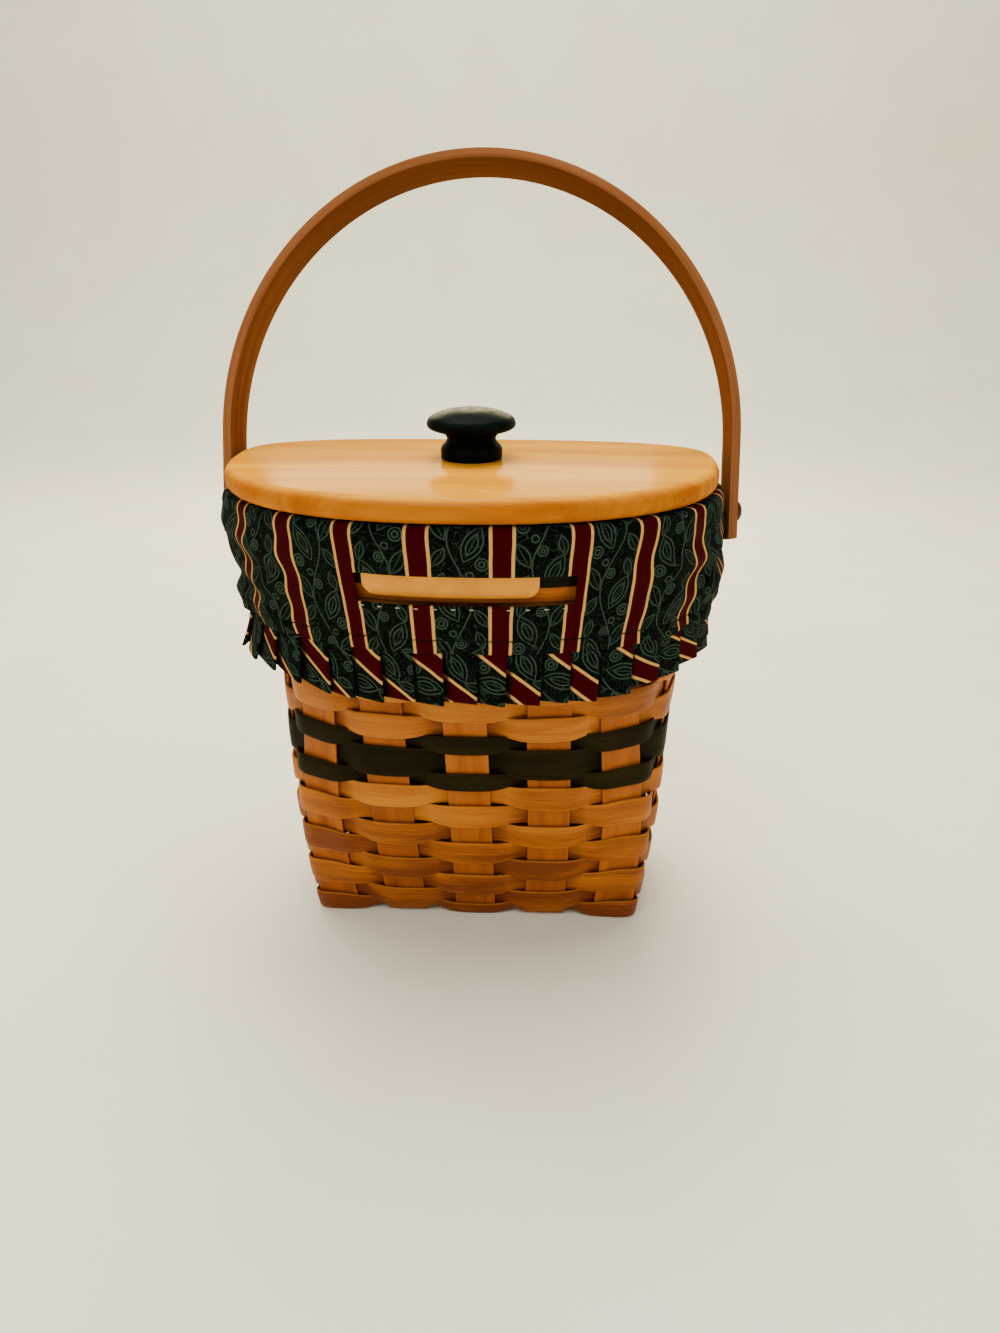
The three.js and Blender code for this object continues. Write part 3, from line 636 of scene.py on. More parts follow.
# bare plate: a thin tan sheet that follows the rim, with round lower corners
plate = Sizes(
    length=77.7, centre=-6.4, height=21, thick=1.0, corner=6, top=225.0, reach=6.5, soft=0.3, bendRows=16,
    rows=60)


def plateFinish():
    finish = Finish("bare_plate", 0.42, 0.05, 0.3, 0, 0.3, 0.25)
    place = finish.place()
    cloud = finish.noise(place, 60, 4, 0.55)
    brush = finish.noise(place, (60, 60, 3600), 3, 0.6)
    mix = cloud * 0.6 + brush * 0.4
    colour = mix.stained((0.3, 204, 124, 16), (0.55, 226, 148, 24), (0.75, 238, 170, 44))
    return finish.done(colour, (brush, 0.36, 0.5), brush, 0.12, 0.0002)


def makePlate():
    corner, length, soft = plate.corner, plate.length, plate.soft
    bent = corner * (1 - np.cos(np.linspace(0, math.pi / 2, plate.bendRows)))
    straight = np.linspace(corner, length - corner, plate.rows)[1:-1]
    along = np.concatenate([bent, straight, length - bent[::-1]])
    fromEnd = np.minimum(np.minimum(along, length - along), corner)
    drop = corner - np.sqrt(corner ** 2 - (corner - fromEnd) ** 2)
    low = plate.top - plate.height + drop
    inner, outer = plate.reach, plate.reach + plate.thick
    rows = [(0, 0, inner), (0, 0, outer - soft), (0, soft, outer), (0.25, 0, outer), (0.5, 0, outer),
            (0.75, 0, outer), (1, -soft, outer), (1, 0, outer - soft), (1, 0, inner), (0.5, 0, inner)]
    z = np.stack([low + (plate.top - low) * part + inset for part, inset, _ in rows], 1)
    reach = np.broadcast_to([reach for _, _, reach in rows], z.shape)
    distance = plate.centre - length / 2 + along
    places = offWall(distance[:, None] / quarterRun(0.01, z), z, reach)
    piece = gridPiece("name_plate_bare", places, along, np.arange(len(rows) + 1.0), False, True)
    smoothShade(piece, 40)
    return finishPiece(piece, "basket", plateFinish(), "plate", "tag_plate")


makePlate()


# rivets that the handle turns on, each with a wooden spacer and a steel washer
rivets = Sizes(
    y=12.5, z=220.7, shank=2.3, hole=2.6, head=5.8, headHeight=4.0, headLip=0.3, peen=3.4, peenHeight=0.9,
    peenEdge=0.4, collar=5.0, collarEdge=0.5, domeRows=14)
rivetEnamel = Finish("rivet_enamel", 0.42, 0.05, 0.25, 0, 0.15).mottled(
    420, 4, 0.6, [(0.3, 52, 16, 10), (0.55, 78, 26, 16), (0.75, 104, 40, 24)], (0.34, 0.5), 0.2, 0.0002)


def reachOf(nodeName):
    return sorted(abs(corner[0]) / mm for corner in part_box(nodeName))


def rivetProfile(tip, top):
    peen, head = tip + rivets.peenHeight, top - rivets.headHeight
    lip, edge = rivets.headLip, rivets.peenEdge
    dome = [(rivets.head * math.cos(t), head + lip + (rivets.headHeight - lip) * math.sin(t))
            for t in np.linspace(0, math.pi / 2, rivets.domeRows)]
    dome[-1] = (0, dome[-1][1])
    return [(0, tip), (rivets.peen - edge, tip), (rivets.peen, tip + edge), (rivets.peen, peen),
            (rivets.shank, peen), (rivets.shank, head), (rivets.head, head)] + dome


def collarProfile(near, far):
    hole, radius = rivets.hole, rivets.collar
    soft = min(rivets.collarEdge, (far - near) / 4)
    return [(hole, near), (radius - soft, near), (radius, near + soft), (radius, far - soft),
            (radius - soft, far), (hole, far), (hole, near)]


collars = [("handle_spacer", spacerWood, "handle_wood"), ("rivet_washer", steel, "hardware")]
for side, sign in (("right", 1), ("left", -1)):
    centre, axis = (0, rivets.y, rivets.z), (sign, 0, 0)
    piece = spunPiece(f"rivet_{side}", rivetProfile(*reachOf(f"handle_rivet_{side}")), centre, axis)
    finishPiece(piece, "basket", rivetEnamel, "rivet", f"handle_rivet_{side}")
    for nodeName, material, slot in collars:
        profile = collarProfile(*reachOf(f"{nodeName}_{side}"))
        piece = spunPiece(f"{nodeName}_{side}_round", profile, centre, axis)
        finishPiece(piece, "basket", material, slot, f"{nodeName}_{side}")
print("rim, plate and rivets done")


# bentwood handle: a strip bent over two straight legs, leaned back on its rivets
handle = Sizes(
    outer=133.8, inner=128.9, leg=37, arch=141, thick=4.9, tail=14.4, lean=17.4, legRows=26, archRows=181,
    gripFrom=70, gripFull=165, cornerAt=13, faceWear=0.7, innerShare=0.05, drillLength=0.4,
    depth=[-13.75, -13.75, -13.45, -12.7, -6, 0, 6, 12.7, 13.45, 13.75, 13.75, 13.45, 12.7, 6, 0, -6,
        -12.7, -13.45],
    share=[0.3, 0.7, 0.91, 1, 1.02, 1.02, 1.02, 1, 0.91, 0.7, 0.3, 0.09, 0, 0, 0, 0, 0, 0.09])


def handleFinish():
    finish = Finish("bentwood", 0.7, 0, 0.3, 0, 0)
    uv = finish.grain()
    streak = finish.noise(uv, (16, 900, 1), 4, 0.6, 0.5)
    broad = finish.noise(uv, (7, 120, 1), 3, 0.5, 0.8)
    pores = finish.noise(uv, (110, 3600, 1), 2, 0.5)
    mix = streak * 0.5 + broad * 0.5
    colour = mix.stained((0.28, 94, 54, 25), (0.5, 123, 75, 39), (0.74, 144, 92, 52))
    colour = finish.layered(pores.spread(0.58, 0.72, 0, 0.55), colour, shade(62, 24, 3))
    # painted highlight: the narrow edges of the strip are lighter
    edge = (finish.mark("edge") + streak * 0.3).spread(1.0, 1.2)
    colour = finish.layered(edge * 0.45, colour, shade(166, 106, 64))
    # painted shade: the inner face under the crown is darker
    colour = finish.layered(finish.mark("underShade") * 0.7, colour, shade(74, 40, 17))
    return finish.done(colour, (streak, 0.6, 0.8), streak - pores, 0.3, 0.0004)


# the strip's inner or outer line, up one leg, over the arch and down the other
def handleLine(half, arch):
    rise = np.linspace(-handle.tail, handle.leg, handle.legRows)
    turn = np.linspace(0, math.pi, handle.archRows)[1:-1]
    bend = [(half * math.cos(t), handle.leg + arch * math.sin(t)) for t in turn]
    return np.array([(half, z) for z in rise] + bend + [(-half, z) for z in rise[::-1]])


def makeHandle():
    inner = handleLine(handle.inner, handle.arch - handle.thick)
    outer = handleLine(handle.outer, handle.arch)
    share, depth = np.array(handle.share), np.array(handle.depth)
    flat = inner[:, None] + (outer - inner)[:, None] * share[:, None]
    lean = math.radians(handle.lean)
    y = rivets.y + depth * math.cos(lean) + flat[..., 1] * math.sin(lean)
    z = rivets.z - depth * math.sin(lean) + flat[..., 1] * math.cos(lean)
    places = np.stack([flat[..., 0], y, z], -1)
    middle = (inner + outer) / 2
    girth = runAlong(np.stack([depth, handle.thick * share], 1), True)
    # painted highlight mark: one on the narrow edges, smaller on the faces
    edge = np.where(np.abs(depth) > handle.cornerAt, 1.0, np.abs(depth) / depth.max() * handle.faceWear)
    underShade = smoothStep(middle[:, 1], handle.gripFrom, handle.gripFull)[:, None]
    underShade = underShade * (share < handle.innerShare)[None]  # painted shade on the inner face, under the crown
    piece = gridPiece("bentwood_handle", places, runAlong(middle), girth, False, True,
                      marks={"edge": edge[None], "underShade": underShade})
    bpy.ops.object.select_all(action="DESELECT")
    bpy.ops.mesh.primitive_cylinder_add(
        vertices=32, radius=rivets.hole * mm, depth=handle.drillLength, rotation=(0, math.pi / 2, 0),
        location=(0, rivets.y * mm, rivets.z * mm))
    drill = bpy.context.object
    cut = piece.modifiers.new("rivet_holes", "BOOLEAN")
    cut.operation = "DIFFERENCE"
    cut.object = drill
    applyAll(piece)
    bpy.data.objects.remove(drill)
    smoothShade(piece, 40)
    return finishPiece(piece, "handle", handleFinish(), "handle_wood", "handle")


makeHandle()
print("handle done")


# printed cotton: burgundy stripes with cream edges, and trailing sprigs in a paler green between them.
# Each leaf is x, y, angle, length and width, and each ring x, y and radius.
printed = Sizes(
    pitch=35.6, stripe=8.1, edge=1.45, soft=0.12, offset=17.0, sprig=60.0, stagger=13.0, stem=5.0, line=0.35,
    leaves=[(-5.4, 12.5, 116, 8.8, 4.0), (-5.4, 12.5, 116, 5.4, 2.1), (9.0, 20.5, 62, 6.4, 2.8),
        (-8.6, 25.0, 72, 4.6, 2.1), (9.2, 6.6, 124, 5.2, 2.3)],
    rings=[(-9.3, 3.4, 2.8), (-9.3, 3.4, 1.3), (0.6, 22.6, 2.3), (0.6, 22.6, 0.9), (4.2, 28.2, 1.5)])


# a stem that sways up the ground, with its leaves and rings, turned over at every second step
def sprigLines(across, up):
    half, line = printed.sprig / 2, printed.line
    step = up / half
    turn = step.maths("FLOOR")
    rise = (step - turn) * half
    side = across * (1.0 - turn.maths("FLOORED_MODULO", 2.0) * 2.0)
    lines = []

    def drawn(distance):
        lines.append(abs(distance).spread(line * 0.6, line * 1.5, 1.0, 0.0))

    drawn(side - (rise * (math.pi / half)).maths("SINE") * printed.stem)
    for x, y, angle, length, width in printed.leaves:
        dx, dy = side - x, rise - y
        c, s = math.cos(math.radians(angle)), math.sin(math.radians(angle))
        run = dx * c + dy * s
        off = abs(dy * c - dx * s)
        drawn(off - (1.0 - (run / length).maths("POWER", 2.0)) * width)
        inside = abs(run).maths("LESS_THAN", length * 0.75)
        lines.append(off.spread(line * 0.5, line, 0.7, 0.0) * inside)
    for x, y, radius in printed.rings:
        away = (side - x).maths("POWER", 2.0) + (rise - y).maths("POWER", 2.0)
        drawn(away.maths("SQRT") - radius)
    result = lines[0]
    for other in lines[1:]:
        result = result.maths("MAXIMUM", other)
    return result


def cottonFinish():
    finish = Finish("striped_cotton", 0.9, 0, 0.3, 0.01, 0.03)
    finish.feed(finish.shader, {"Sheen Roughness": 0.5})
    uv = finish.grain()
    across, up = (finish.part(uv, axis) * (1 / mm) for axis in (0, 1))
    cell = (across + finish.noise(uv, 45, 2, 0.5) * 1.2 - printed.offset) / printed.pitch
    column = cell.maths("FLOOR")
    fromStripe = abs((cell - cell.maths("ROUND")) * printed.pitch)
    sprigs = sprigLines((cell - column - 0.5) * printed.pitch, up + column * printed.stagger)
    threads = finish.noise(uv, (2400, 2400, 1), 2, 0.6)
    worn = threads.spread(0.25, 0.6, 0.45, 1.0)
    ground = finish.noise(uv, 120, 3, 0.6).stained((0.3, 1, 5, 2), (0.7, 4, 11, 6))
    swirl = abs((finish.noise(uv, 130, 1.5, 0.45, 0.5) * 9.0).maths("FRACT") - 0.5)
    drawing = sprigs.maths("MAXIMUM", swirl.spread(0.04, 0.1, 0.4, 0.0)) * worn
    colour = finish.layered(drawing, ground, shade(54, 72, 60))
    cream = finish.layered(worn, shade(178, 124, 54), shade(214, 164, 84))
    wine = threads.stained((0.3, 44, 0, 3), (0.7, 66, 1, 6))
    half, soft = printed.stripe / 2, printed.soft
    for reach, layer in ((half + printed.edge, cream), (half, wine)):
        colour = finish.layered(fromStripe.spread(reach - soft, reach + soft, 1.0, 0.0), colour, layer)
    # seam mark: the garter's dark seam line, and painted shade in the ruffle's pleat recesses
    colour = finish.layered(finish.mark("seam") * 0.9, colour, shade(5, 6, 4))
    wave = {"Vector": uv, "Scale": 420}
    warp, weft = (finish.node("TexWave", wave, 1, bands_direction=way) for way in "XY")
    return finish.done(colour, None, warp * weft + threads * 0.8, 0.25, 0.0003)


cotton = cottonFinish()


# gives a sheet its thickness, and returns its area as it was before
def thicken(piece, thick):
    area = sum(face.area for face in piece.data.polygons)
    layer = piece.modifiers.new("cloth", "SOLIDIFY")
    layer.thickness = thick * mm
    layer.offset = 0.0
    applyAll(piece)
    selectOnly(piece)
    bpy.ops.object.shade_smooth()
    return area


# garter: gathered at both ends, smooth across the front, turned in over the rim
garter = Sizes(
    bottom=176, faceTop=231, front=8.65, end=7.3, gatherAt=(0.5, 0.9), stand=1.5, thick=1.0, foldDepth=3.0,
    foldEnd=1.2, belly=2.5, folds=5, foldWander=1.1, pucker=1.3, puckerPitch=19, puckerWander=2.4,
    ripple=0.3, window=(-49.5, 50.1, 200.7, 215.2), windowLevel=210.0, windowSide=0.8, frontSteps=801,
    faceRows=(24, 12, 10), columns=640, seamAt=183.0, seamWide=0.6, seamClear=0.8, seamFold=0.5,
    seamPinch=0.45, seamDark=0.45, hemFade=(3.6, 4.4), hemThick=0.4, runLevel=198, handleClear=127.6,
    gathered=6.4, gatherRun=(28, 84), sway=1.9, swayPitch=37, swayWander=1.2, fineSway=0.8, finePitch=17,
    lipRipple=0.25, lipWaves=60,
    bulges=[(3.15, 0.11, 4.4, 203, 215, 231, 237), (3.14, 0.12, 2.6, 160, 170, 186, 196),
        (0.92, 0.13, 4.0, 165, 182, 194, 208)], over=[(-0.3, 233.2), (-1.1, 235.2), (-2.6, 236.7)],
    inside=[(4.0, 237.15), (0, 237.15), (-4, 237.15), (-6.6, 237.0), (-7.8, 236.2), (-8.2, 234.6),
        (-8.2, 232.0), (-8.2, 229.5), (-8.2, 227.0)])


def endShare(station, z):
    return smoothStep(np.abs(onWall(station, z)[..., 0]) / wall.rimLength, *garter.gatherAt)


def garterReach(station, z):
    level = (z - garter.bottom) / (wall.height - garter.bottom)
    share = endShare(station, z)
    arch = np.sin(math.pi * np.clip(level, 0, 1))
    foldTurn = 2 * math.pi * garter.folds * station + garter.foldWander * wander(station, 7, 5)
    gather = (1 + np.cos(foldTurn)) / 2
    fold = garter.foldDepth * (garter.foldEnd - level) * gather + garter.belly * arch
    puckerTurn = 2 * math.pi * z / garter.puckerPitch + garter.puckerWander * wander(station, 9, 6)
    ripple = garter.ripple * wander(station, 22, 7) * (1 - level)
    for place, wide, out, low, full, fade, top in garter.bulges:
        bulge = out * bell(pastStation(station, place), 0, wide)
        ripple = ripple + bulge * smoothStep(z, low, full) * (1 - smoothStep(z, fade, top))
    gathered = share * (fold + garter.pucker * np.sin(puckerTurn) * arch)
    return mixed(garter.front, garter.end, share) + garter.stand * (1 - level) + gathered + ripple


def makeGarter():
    left, right, sill, lintel = garter.window
    seam, seamWide = garter.seamAt, garter.seamWide
    turn = 2 + 4 * np.arange(garter.columns) / garter.columns
    front = np.linspace(3, 5, garter.frontSteps)
    frontX = offWall(front, garter.windowLevel, garter.front + 1)[..., 0]
    edges = [float(np.interp(x, frontX, front)) for x in (left, right)]
    for edge in edges:
        turn[np.argmin(np.abs(turn - edge))] = edge
    stops = (garter.bottom, sill, lintel, garter.faceTop)
    faceZ = np.concatenate([np.linspace(*span) for span in zip(stops, stops[1:], garter.faceRows)])
    faceZ = faceZ[np.abs(faceZ - seam) > garter.seamClear]
    faceZ = np.unique(np.concatenate([faceZ, [seam - seamWide, seam, seam + seamWide]]))
    column = turn[:, None]
    z = np.broadcast_to(faceZ, (len(turn), len(faceZ)))
    reach = garterReach(column, z)
    x = offWall(column, z, reach)[..., 0]
    outside = np.maximum(np.maximum(left - x, x - right), np.maximum(sill - z, z - lintel))
    inFront = np.abs(pastStation(column)) < garter.windowSide
    hemmed = np.where(inFront, 1 - smoothStep(outside, *garter.hemFade), 0)
    reach = reach + garter.hemThick * hemmed - garter.seamPinch * bell(z, seam, garter.seamFold)
    topReach = reach[:, -1:] + np.array([shift for shift, _ in garter.over])
    inReach = np.tile([part for part, _ in garter.inside], (len(turn), 1))
    inReach[:, -3:] += garter.lipRipple * np.sin(column * garter.lipWaves)
    allReach = np.concatenate([reach, topReach, inReach], 1)
    turnedZ = [height for _, height in garter.over + garter.inside]
    allZ = np.concatenate([z, np.tile(turnedZ, (len(turn), 1))], 1)
    still = offWall(column, allZ, allReach)
    along = runAlong(still[:, np.argmin(np.abs(faceZ - garter.runLevel))], True)
    along -= np.interp(4.0, turn, along[:-1])
    across = runAlong(still[len(turn) // 2])
    swayTurn = 2 * math.pi * allZ / garter.swayPitch + garter.swayWander * wander(column, 5, 8)
    sway = garter.sway * np.sin(swayTurn) + garter.fineSway * np.sin(2 * math.pi * allZ / garter.finePitch)
    places = offWall(column + endShare(column, allZ) * sway / quarterRun(column, allZ), allZ, allReach)
    places[..., 0] = np.clip(places[..., 0], -garter.handleClear, garter.handleClear)
    printAlong = along + np.sign(along) * garter.gathered * smoothStep(np.abs(along), *garter.gatherRun)
    middle = (turn + np.append(turn[1:], turn[0] + 4)) / 2
    between = (allZ[0, 1:] + allZ[0, :-1]) / 2
    onFace = np.arange(len(between)) < len(faceZ) - 1
    holeRows = (between > sill) & (between < lintel) & onFace
    hole = ((middle > edges[0]) & (middle < edges[1]))[:, None] & holeRows[None]
    dark = bell(allZ, seam, garter.seamDark)
    dark[:, len(faceZ):] = 0
    piece = gridPiece("cotton_garter", places, printAlong, across, True, False, ~hole, {"seam": dark})
    area = thicken(piece, garter.thick)
    print("garter cloth", round(along[-1] - along[0]), "by", round(across[-1]), "mm, area", round(area, 4))
    finishPiece(piece, "basket", cotton, "cloth", "garter_band")
    return piece, (along[-1] - along[0]) * mm, across[-1] * mm, area


garterPiece, garterLength, garterHeight, garterArea = makeGarter()


# ruffle: knife pleats on the bias, sewn in behind the garter's lower edge. Each pleat is a panel out to its
# fold and a way back behind it, in shares of the pleat's width, with the tilt, reach and painted crease shade
# there.
ruffle = Sizes(
    pleats=44, top=178.4, seamTop=175.65, drop=25, endDrop=17, flare=3.0, foldTop=1.5, foldHem=4.4,
    thick=0.6, bias=36, rows=15, tuck=1.7, tuckEnd=0.16, endOut=1.5, uneven=0.12, depths=(0.8, 1.25),
    hemUneven=0.9, hemSlope=0.3, waver=0.5, flipAt=3.26, flipWide=0.14, flip=4.5, flipCurve=1.5,
    backGrow=(0.8, 1.1), panelCurve=1.1, creaseEnd=0.5, creaseWide=0.1, creaseTop=0.3,
    panel=[0, 0.15, 0.3, 0.4, 0.5, 0.68, 0.86, 1.04, 1.18, 1.27],
    wayBack=[1.3, 1.3, 1.2, 1.08, 0.97, 0.9, 0.88, 0.91],
    backTilt=[0.5, 0.5, 0.26, -0.02, -0.31, -0.45, -0.5, -0.5],
    backReach=[-0.3, -0.75, -0.8, -0.7, -0.55, -0.5, -0.5, -0.25], backCrease=[0, 0.5, 1, 1, 1, 1, 1, 1])


def makeRuffle():
    panel, pleats = np.array(ruffle.panel), ruffle.pleats
    q = np.append(panel, ruffle.wayBack)
    tilt = np.append(-0.5 + (panel / panel[-1]) ** ruffle.panelCurve, ruffle.backTilt)
    back = np.append(np.zeros(len(panel)), ruffle.backReach)
    creaseShade = np.append(np.clip((ruffle.creaseEnd - panel) / ruffle.creaseWide, 0, 1), ruffle.backCrease)
    tilt, back, creaseShade = (np.tile(part, pleats)[:, None] for part in (tilt, back, creaseShade))
    roll = np.random.default_rng(71)
    starts = np.arange(pleats) + roll.uniform(-ruffle.uneven, ruffle.uneven, pleats)
    widths = np.diff(np.append(starts, starts[0] + pleats))[:, None]
    turn = 2 + 4 * (starts[:, None] + np.where(q <= 1, q * widths, widths + (q - 1))).reshape(-1, 1) / pleats
    depth = np.repeat(roll.uniform(*ruffle.depths, pleats), len(q))[:, None]
    hemLift = np.repeat(roll.uniform(-ruffle.hemUneven, ruffle.hemUneven, pleats), len(q))
    hemLift = (hemLift - np.tile(q * ruffle.hemSlope, pleats))[:, None]
    down = np.linspace(0, 1, ruffle.rows)
    ends = endShare(turn, ruffle.seamTop)
    hidden = ruffle.top - ruffle.seamTop
    drop = mixed(ruffle.drop, ruffle.endDrop, ends) + hidden
    z = ruffle.top - drop * down + hemLift * down ** 2
    fold = mixed(ruffle.foldTop, ruffle.foldHem, down) * depth
    seam = mixed(garter.front, garter.end + ruffle.endOut, ends) + garter.stand
    tuck = ruffle.tuck * (1 - smoothStep(down, 0, ruffle.tuckEnd))
    flip = ruffle.flip * bell(np.mod(turn, 4), ruffle.flipAt, ruffle.flipWide)
    reach = (seam + ruffle.flare * down - tuck + tilt * fold + back * mixed(*ruffle.backGrow, down)
             + flip * down ** ruffle.flipCurve + ruffle.waver * wander(turn, 18, 9) * down)
    places = offWall(turn, z, reach)
    along = runAlong(places[:, ruffle.rows // 2], True)
    across = -down * (ruffle.drop + hidden)
    bias = math.radians(ruffle.bias)
    mapU = along[:, None] * math.sin(bias) + across[None] * math.cos(bias)
    mapV = along[:, None] * math.cos(bias) - across[None] * math.sin(bias)
    # painted shade in the recess under each fold edge, carried by the seam mark
    dark = creaseShade * smoothStep(down, 0, ruffle.creaseTop)
    piece = gridPiece("cotton_ruffle", places, mapU, mapV, True, False, None, {"seam": dark})
    area = thicken(piece, ruffle.thick)
    print("ruffle cloth", round(along[-1]), "by", round(-across[-1]), "mm, area", round(area, 4))
    finishPiece(piece, "basket", cotton, "cloth", "garter_ruffle")
    return piece, along[-1] * mm, -across[-1] * mm, area


rufflePiece, ruffleLength, ruffleHeight, ruffleArea = makeRuffle()


# elastic that draws the lip in, and the sewing threads
elastic = Sizes(
    outer=-9.35, thick=1.2, low=228.5, high=233.5, soft=0.3, columns=480, ripple=0.12, waves=75)
stitches = Sizes(
    windowZ=199.2, windowPitch=8.3, windowLength=2.0, windowRise=0.45, windowEase=6, windowInset=(3, 1),
    hemPitch=4.4, hemLength=2.6, hemRise=-0.25, hemQuarter=165, radius=0.3, sides=6,
    shape=[(-1, 0.25), (-0.75, 0.85), (0, 1), (0.75, 0.85), (1, 0.25)])


def makeElastic():
    turn = 4 * np.arange(elastic.columns)[:, None] / elastic.columns
    outer, inner, soft = elastic.outer, elastic.outer - elastic.thick, elastic.soft
    low, high = elastic.low, elastic.high
    profile = [(outer, low + soft), (outer, high - soft), (outer - soft, high), (inner + soft, high),
               (inner, high - soft), (inner, (low + high) / 2), (inner, low + soft), (inner + soft, low),
               (outer - soft, low)]
    reach = np.array([part for part, _ in profile]) + elastic.ripple * np.sin(turn * elastic.waves)
    z = np.broadcast_to([part for _, part in profile], reach.shape)
    along, across = (np.arange(count + 1.0) for count in reach.shape)
    piece = gridPiece("elastic_tape", offWall(turn, z, reach), along, across, True, True)
    smoothShade(piece, 50)
    ribbed = Finish("woven_elastic", 0.85, 0, 0.3, 0.2).mottled(
        (300, 300, 2600), 2, 0.5, [(0.3, 186, 180, 164), (0.7, 226, 221, 208)], None, 0.5, 0.0004)
    return finishPiece(piece, "basket", ribbed, "elastic", "garter_elastic")


def threadFinish(name, *stops):
    finish = Finish(name, 0.8, 0, 0.3, 0, 0.05)
    return finish.mottled((2600, 900, 2600), 2, 0.5, stops, None, 0.5, 0.0003)


# short raised stitches in a row, each a small lens of thread on the cloth
def makeStitches(name, centres, z, length, rise, thread):
    corners, faces = [], []
    sides = stitches.sides
    for centre in centres:
        base = len(corners)
        for part, thick in stitches.shape:
            station = np.array(centre + part * length / 2 / float(quarterRun(centre, z)))
            radius = stitches.radius * thick
            reach = garterReach(station, np.array(z)) + garter.thick / 2 + rise
            for t in np.arange(sides) / sides * 2 * math.pi:
                height = np.array(z + radius * math.sin(t))
                corners.append(offWall(station, height, reach + radius * math.cos(t)))
        last = len(corners) - sides
        for first in range(base, last, sides):
            for m in range(sides):
                a, b = first + m, first + (m + 1) % sides
                faces.append((a, b, b + sides, a + sides))
        faces += [tuple(range(base, base + sides))[::-1], tuple(range(last, last + sides))]
    piece = newPiece(name, corners, [], faces)
    faceOut(piece)
    smoothShade(piece, 60)
    return finishPiece(piece, "basket", thread, "cloth")


elasticTape = makeElastic()
paleThread = threadFinish("pale_thread", (0.3, 164, 154, 130), (0.7, 204, 194, 168))
darkThread = threadFinish("dark_thread", (0.3, 8, 12, 9), (0.7, 24, 32, 25))
frontRun = float(quarterRun(0.01, stitches.windowZ)) + stitches.windowEase
sillFrom, sillTo = garter.window[0] + stitches.windowInset[0], garter.window[1] - stitches.windowInset[1]
sillStations = np.arange(sillFrom, sillTo, stitches.windowPitch) / frontRun
hemStations = np.arange(0, 4, stitches.hemPitch / stitches.hemQuarter)
sillStitches = makeStitches("window_stitches", sillStations, stitches.windowZ, stitches.windowLength,
                            stitches.windowRise, paleThread)
hemStitches = makeStitches("hem_stitches", hemStations, garter.seamAt, stitches.hemLength, stitches.hemRise,
                           darkThread)
print("cloth done")


# lid: a board with round edges, two cleats under it and a turned knob
lid = Sizes(
    shift=-2.8, halfLength=125, front=99.5, back=49.5, bottom=238.3, thick=11.4, edge=4.5, segments=7,
    points=88, faceFrom=2.4, faceFull=0.1, cleatEdge=1.4, cleatSegments=4)
knob = Sizes(
    height=24.6, foot=15.5, footEdge=0.4, z=250.05, steps=8, turns=96,
    side=[(15.5, 0.08), (15.6, 0.17), (14.9, 0.25), (12.9, 0.34), (12.5, 0.42), (14.6, 0.51),
        (20.8, 0.6), (22.4, 0.7), (20.2, 0.84), (11.2, 0.97), (0, 1)])


def lidFinish():
    finish = Finish("lid_board_lacquer", 0.3, 0.09, 0.17, 0, 0)
    place = finish.place()
    drift = finish.node("CombineXYZ", {1: finish.noise(place, (5, 14, 5), 2, 0.5) * 0.035})
    bent = finish.node("VectorMath", {0: place, 1: drift}, operation="ADD")
    streak = finish.noise(bent, (9, 330, 120), 4, 0.55, 0.3)
    figure = finish.noise(bent, (2.2, 60, 20), 3, 0.5, 0.4)
    pores = finish.noise(bent, (70, 2600, 2600), 2, 0.5)
    mix = streak * 0.4 + figure * 0.6
    edgeColour = mix.stained((0.3, 164, 82, 0), (0.5, 194, 110, 2), (0.7, 214, 136, 8))
    # painted highlight: the top face is lighter and yellower than the rounded edge
    litTopColour = mix.stained((0.3, 184, 108, 0), (0.5, 212, 141, 0), (0.7, 230, 164, 4))
    top = lid.bottom + lid.thick
    onFace = finish.part(place, 2).spread((top - lid.faceFrom) * mm, (top - lid.faceFull) * mm)
    colour = finish.layered(onFace, edgeColour, litTopColour)
    colour = finish.layered(pores.spread(0.6, 0.72, 0, 0.4), colour, shade(148, 70, 4))
    return finish.done(colour, (streak, 0.17, 0.27), streak - pores, 0.12, 0.0003)


def knobFinish():
    finish = Finish("knob_paint_dark", 0.5, 0, 0.25, 0, 0.02)
    place = finish.place()
    cloud = finish.noise(place, 90, 4, 0.6)
    brush = finish.noise(place, (240, 240, 1600), 3, 0.6)
    colour = cloud.stained((0.3, 3, 8, 6), (0.55, 7, 16, 12), (0.75, 13, 24, 19))
    return finish.done(colour, (brush, 0.34, 0.5), brush + cloud, 0.15, 0.0004)


# smooth line through the given points
def throughPoints(points, steps):
    points = np.array(points, float)
    padded = np.concatenate([[2 * points[0] - points[1]], points, [2 * points[-1] - points[-2]]])
    line = []
    for k in range(len(points) - 1):
        a, b, c, d = padded[k:k + 4]
        for t in np.arange(steps) / steps:
            bend = (2 * a - 5 * b + 4 * c - d) * t ** 2 + (3 * b - a - 3 * c + d) * t ** 3
            line.append(0.5 * (2 * b + (c - a) * t + bend))
    return np.array(line + [points[-1]])


def lidOutline():
    foreX, foreY = cornerLine(lid.points, lid.halfLength, lid.front, wall.frontPower)
    rearX, rearY = cornerLine(lid.points, lid.halfLength, lid.back, wall.backPower)
    x = np.concatenate([foreX, rearX[::-1], -rearX, -foreX[::-1]])
    y = np.concatenate([-foreY, rearY[::-1], rearY, -foreY[::-1]])
    run = runAlong(np.stack([x, y], 1))
    even = np.linspace(0, run[-1], 4 * lid.points + 1)[:-1]
    return np.stack([np.interp(even, run, x) + lid.shift, np.interp(even, run, y) + wall.widest], 1)


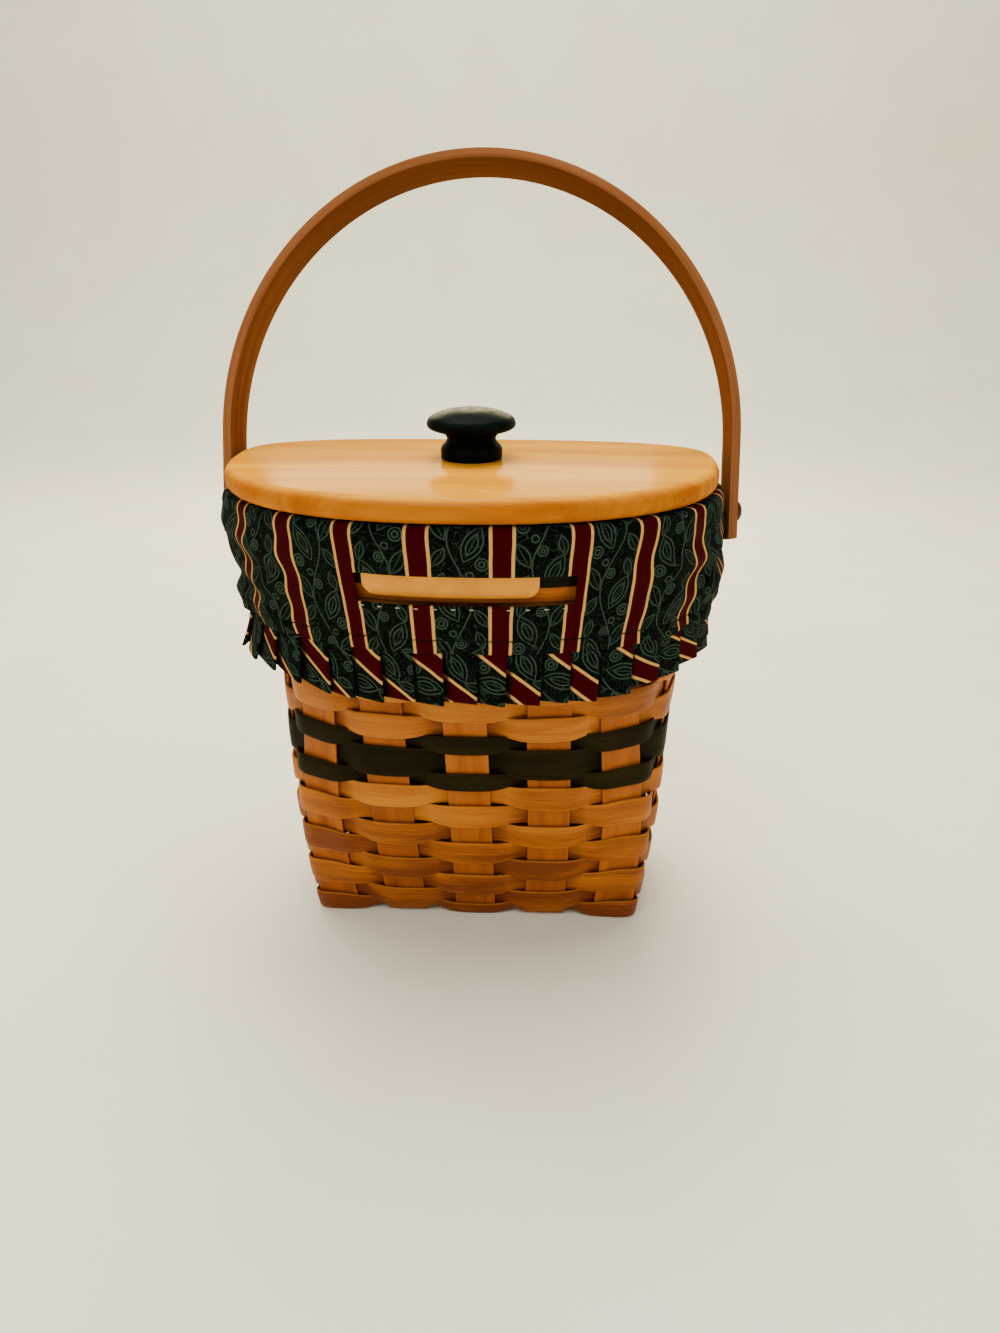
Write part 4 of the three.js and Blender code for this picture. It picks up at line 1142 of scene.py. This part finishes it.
def makeLid():
    finish = lidFinish()
    board = boardPiece("lid_board_round", lidOutline(), lid.bottom, lid.thick, lid.edge, lid.segments)
    finishPiece(board, "lid", finish, "lid_wood", "lid_board")
    for side in ("left", "right"):
        near, far = (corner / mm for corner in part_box(f"lid_cleat_{side}"))
        outline = [(near[0], near[1]), (far[0], near[1]), (far[0], far[1]), (near[0], far[1])]
        thick = far[2] - near[2]
        cleat = boardPiece(f"cleat_{side}", outline, near[2], thick, lid.cleatEdge, lid.cleatSegments)
        finishPiece(cleat, "lid", finish, "lid_wood", f"lid_cleat_{side}")
    side = throughPoints([(radius, share * knob.height) for radius, share in knob.side], knob.steps)
    profile = [(0, 0), (knob.foot - knob.footEdge, 0), (knob.foot, knob.footEdge)]
    profile += [(max(0, radius), height) for radius, height in side]
    turned = spunPiece("turned_knob", profile, (lid.shift, 0, knob.z), (0, 0, 1), knob.turns, 50)
    finishPiece(turned, "lid", knobFinish(), "knob_paint", "knob")


makeLid()
print("lid done")


# stage in metres: pale floor that curves up into a backdrop, soft lights and the camera
studio = Sizes(
    size=6.0, behind=1.6, bend=0.5, bendRows=14, wallTop=4, world=0.34, aim=(0, 0, 0.16),
    warm=(1.0, 0.95, 0.86))
lamps = dict(key=dict(place=(-0.5, -1.3, 1.8), size=1.2, power=20, colour=studio.warm),
             fill=dict(place=(1.3, -0.9, 0.9), size=1.4, power=6, colour=(0.97, 0.98, 1.0)),
             top=dict(place=(-0.15, 0.45, 2.0), size=1.5, power=76, colour=studio.warm),
             glow=dict(place=(-0.11, 1.15, 0.58), size=0.7, height=0.15, power=8, colour=(1.0, 0.84, 0.46)))
view = Sizes(
    place=(0.03676, -0.49613, 0.34737), tilt=66.82, turn=2.9, lens=26.32, sensor=36)


def makeFloor():
    half, behind, bend = studio.size / 2, studio.behind, studio.bend
    turn = np.linspace(0, math.pi / 2, studio.bendRows)
    curve = [(behind - bend + bend * math.sin(t), bend - bend * math.cos(t)) for t in turn]
    rise = [(-half, 0)] + curve + [(behind, studio.wallTop)]
    corners = [(x, y, z) for y, z in rise for x in (-half, half)]
    faces = [(2 * k, 2 * k + 1, 2 * k + 3, 2 * k + 2) for k in range(len(rise) - 1)]
    floor = newPiece("floor", corners, [], faces, 1)
    smoothShade(floor, 60)
    dress(floor, Finish("pale_floor", 0.75).mottled(9, 4, 0.6, [(0.3, 238, 233, 209), (0.7, 243, 239, 217)]))


# a lamp with a height is a low wide light behind, for the sheen across the lid
def makeLamp(name, place, size, power, colour, height=None):
    lamp = bpy.data.lights.new(name, "AREA")
    lamp.energy = power
    lamp.size = size
    lamp.color = colour
    if height:
        lamp.shape = "RECTANGLE"
        lamp.size_y = height
    light = bpy.data.objects.new(name, lamp)
    bpy.context.scene.collection.objects.link(light)
    light.location = place
    light.visible_camera = False
    aim = np.array(studio.aim) - np.array(place)
    light.rotation_euler = (math.acos(-aim[2] / np.linalg.norm(aim)), 0, math.atan2(-aim[0], aim[1]))


def makeWorld():
    world = bpy.data.worlds.new("studio")
    bpy.context.scene.world = world
    world.use_nodes = True
    background = world.node_tree.nodes["Background"]
    background.inputs[0].default_value = shade(240, 240, 236)
    background.inputs[1].default_value = studio.world


def makeCamera():
    camera = bpy.data.objects.new("camera", bpy.data.cameras.new("camera"))
    bpy.context.scene.collection.objects.link(camera)
    camera.data.lens = view.lens
    camera.data.sensor_width = view.sensor
    camera.location = view.place
    camera.rotation_euler = (math.radians(view.tilt), 0, math.radians(view.turn))
    bpy.context.scene.camera = camera


makeFloor()
for name, lamp in lamps.items():
    makeLamp(name, **lamp)
makeWorld()
makeCamera()
print("stage done")
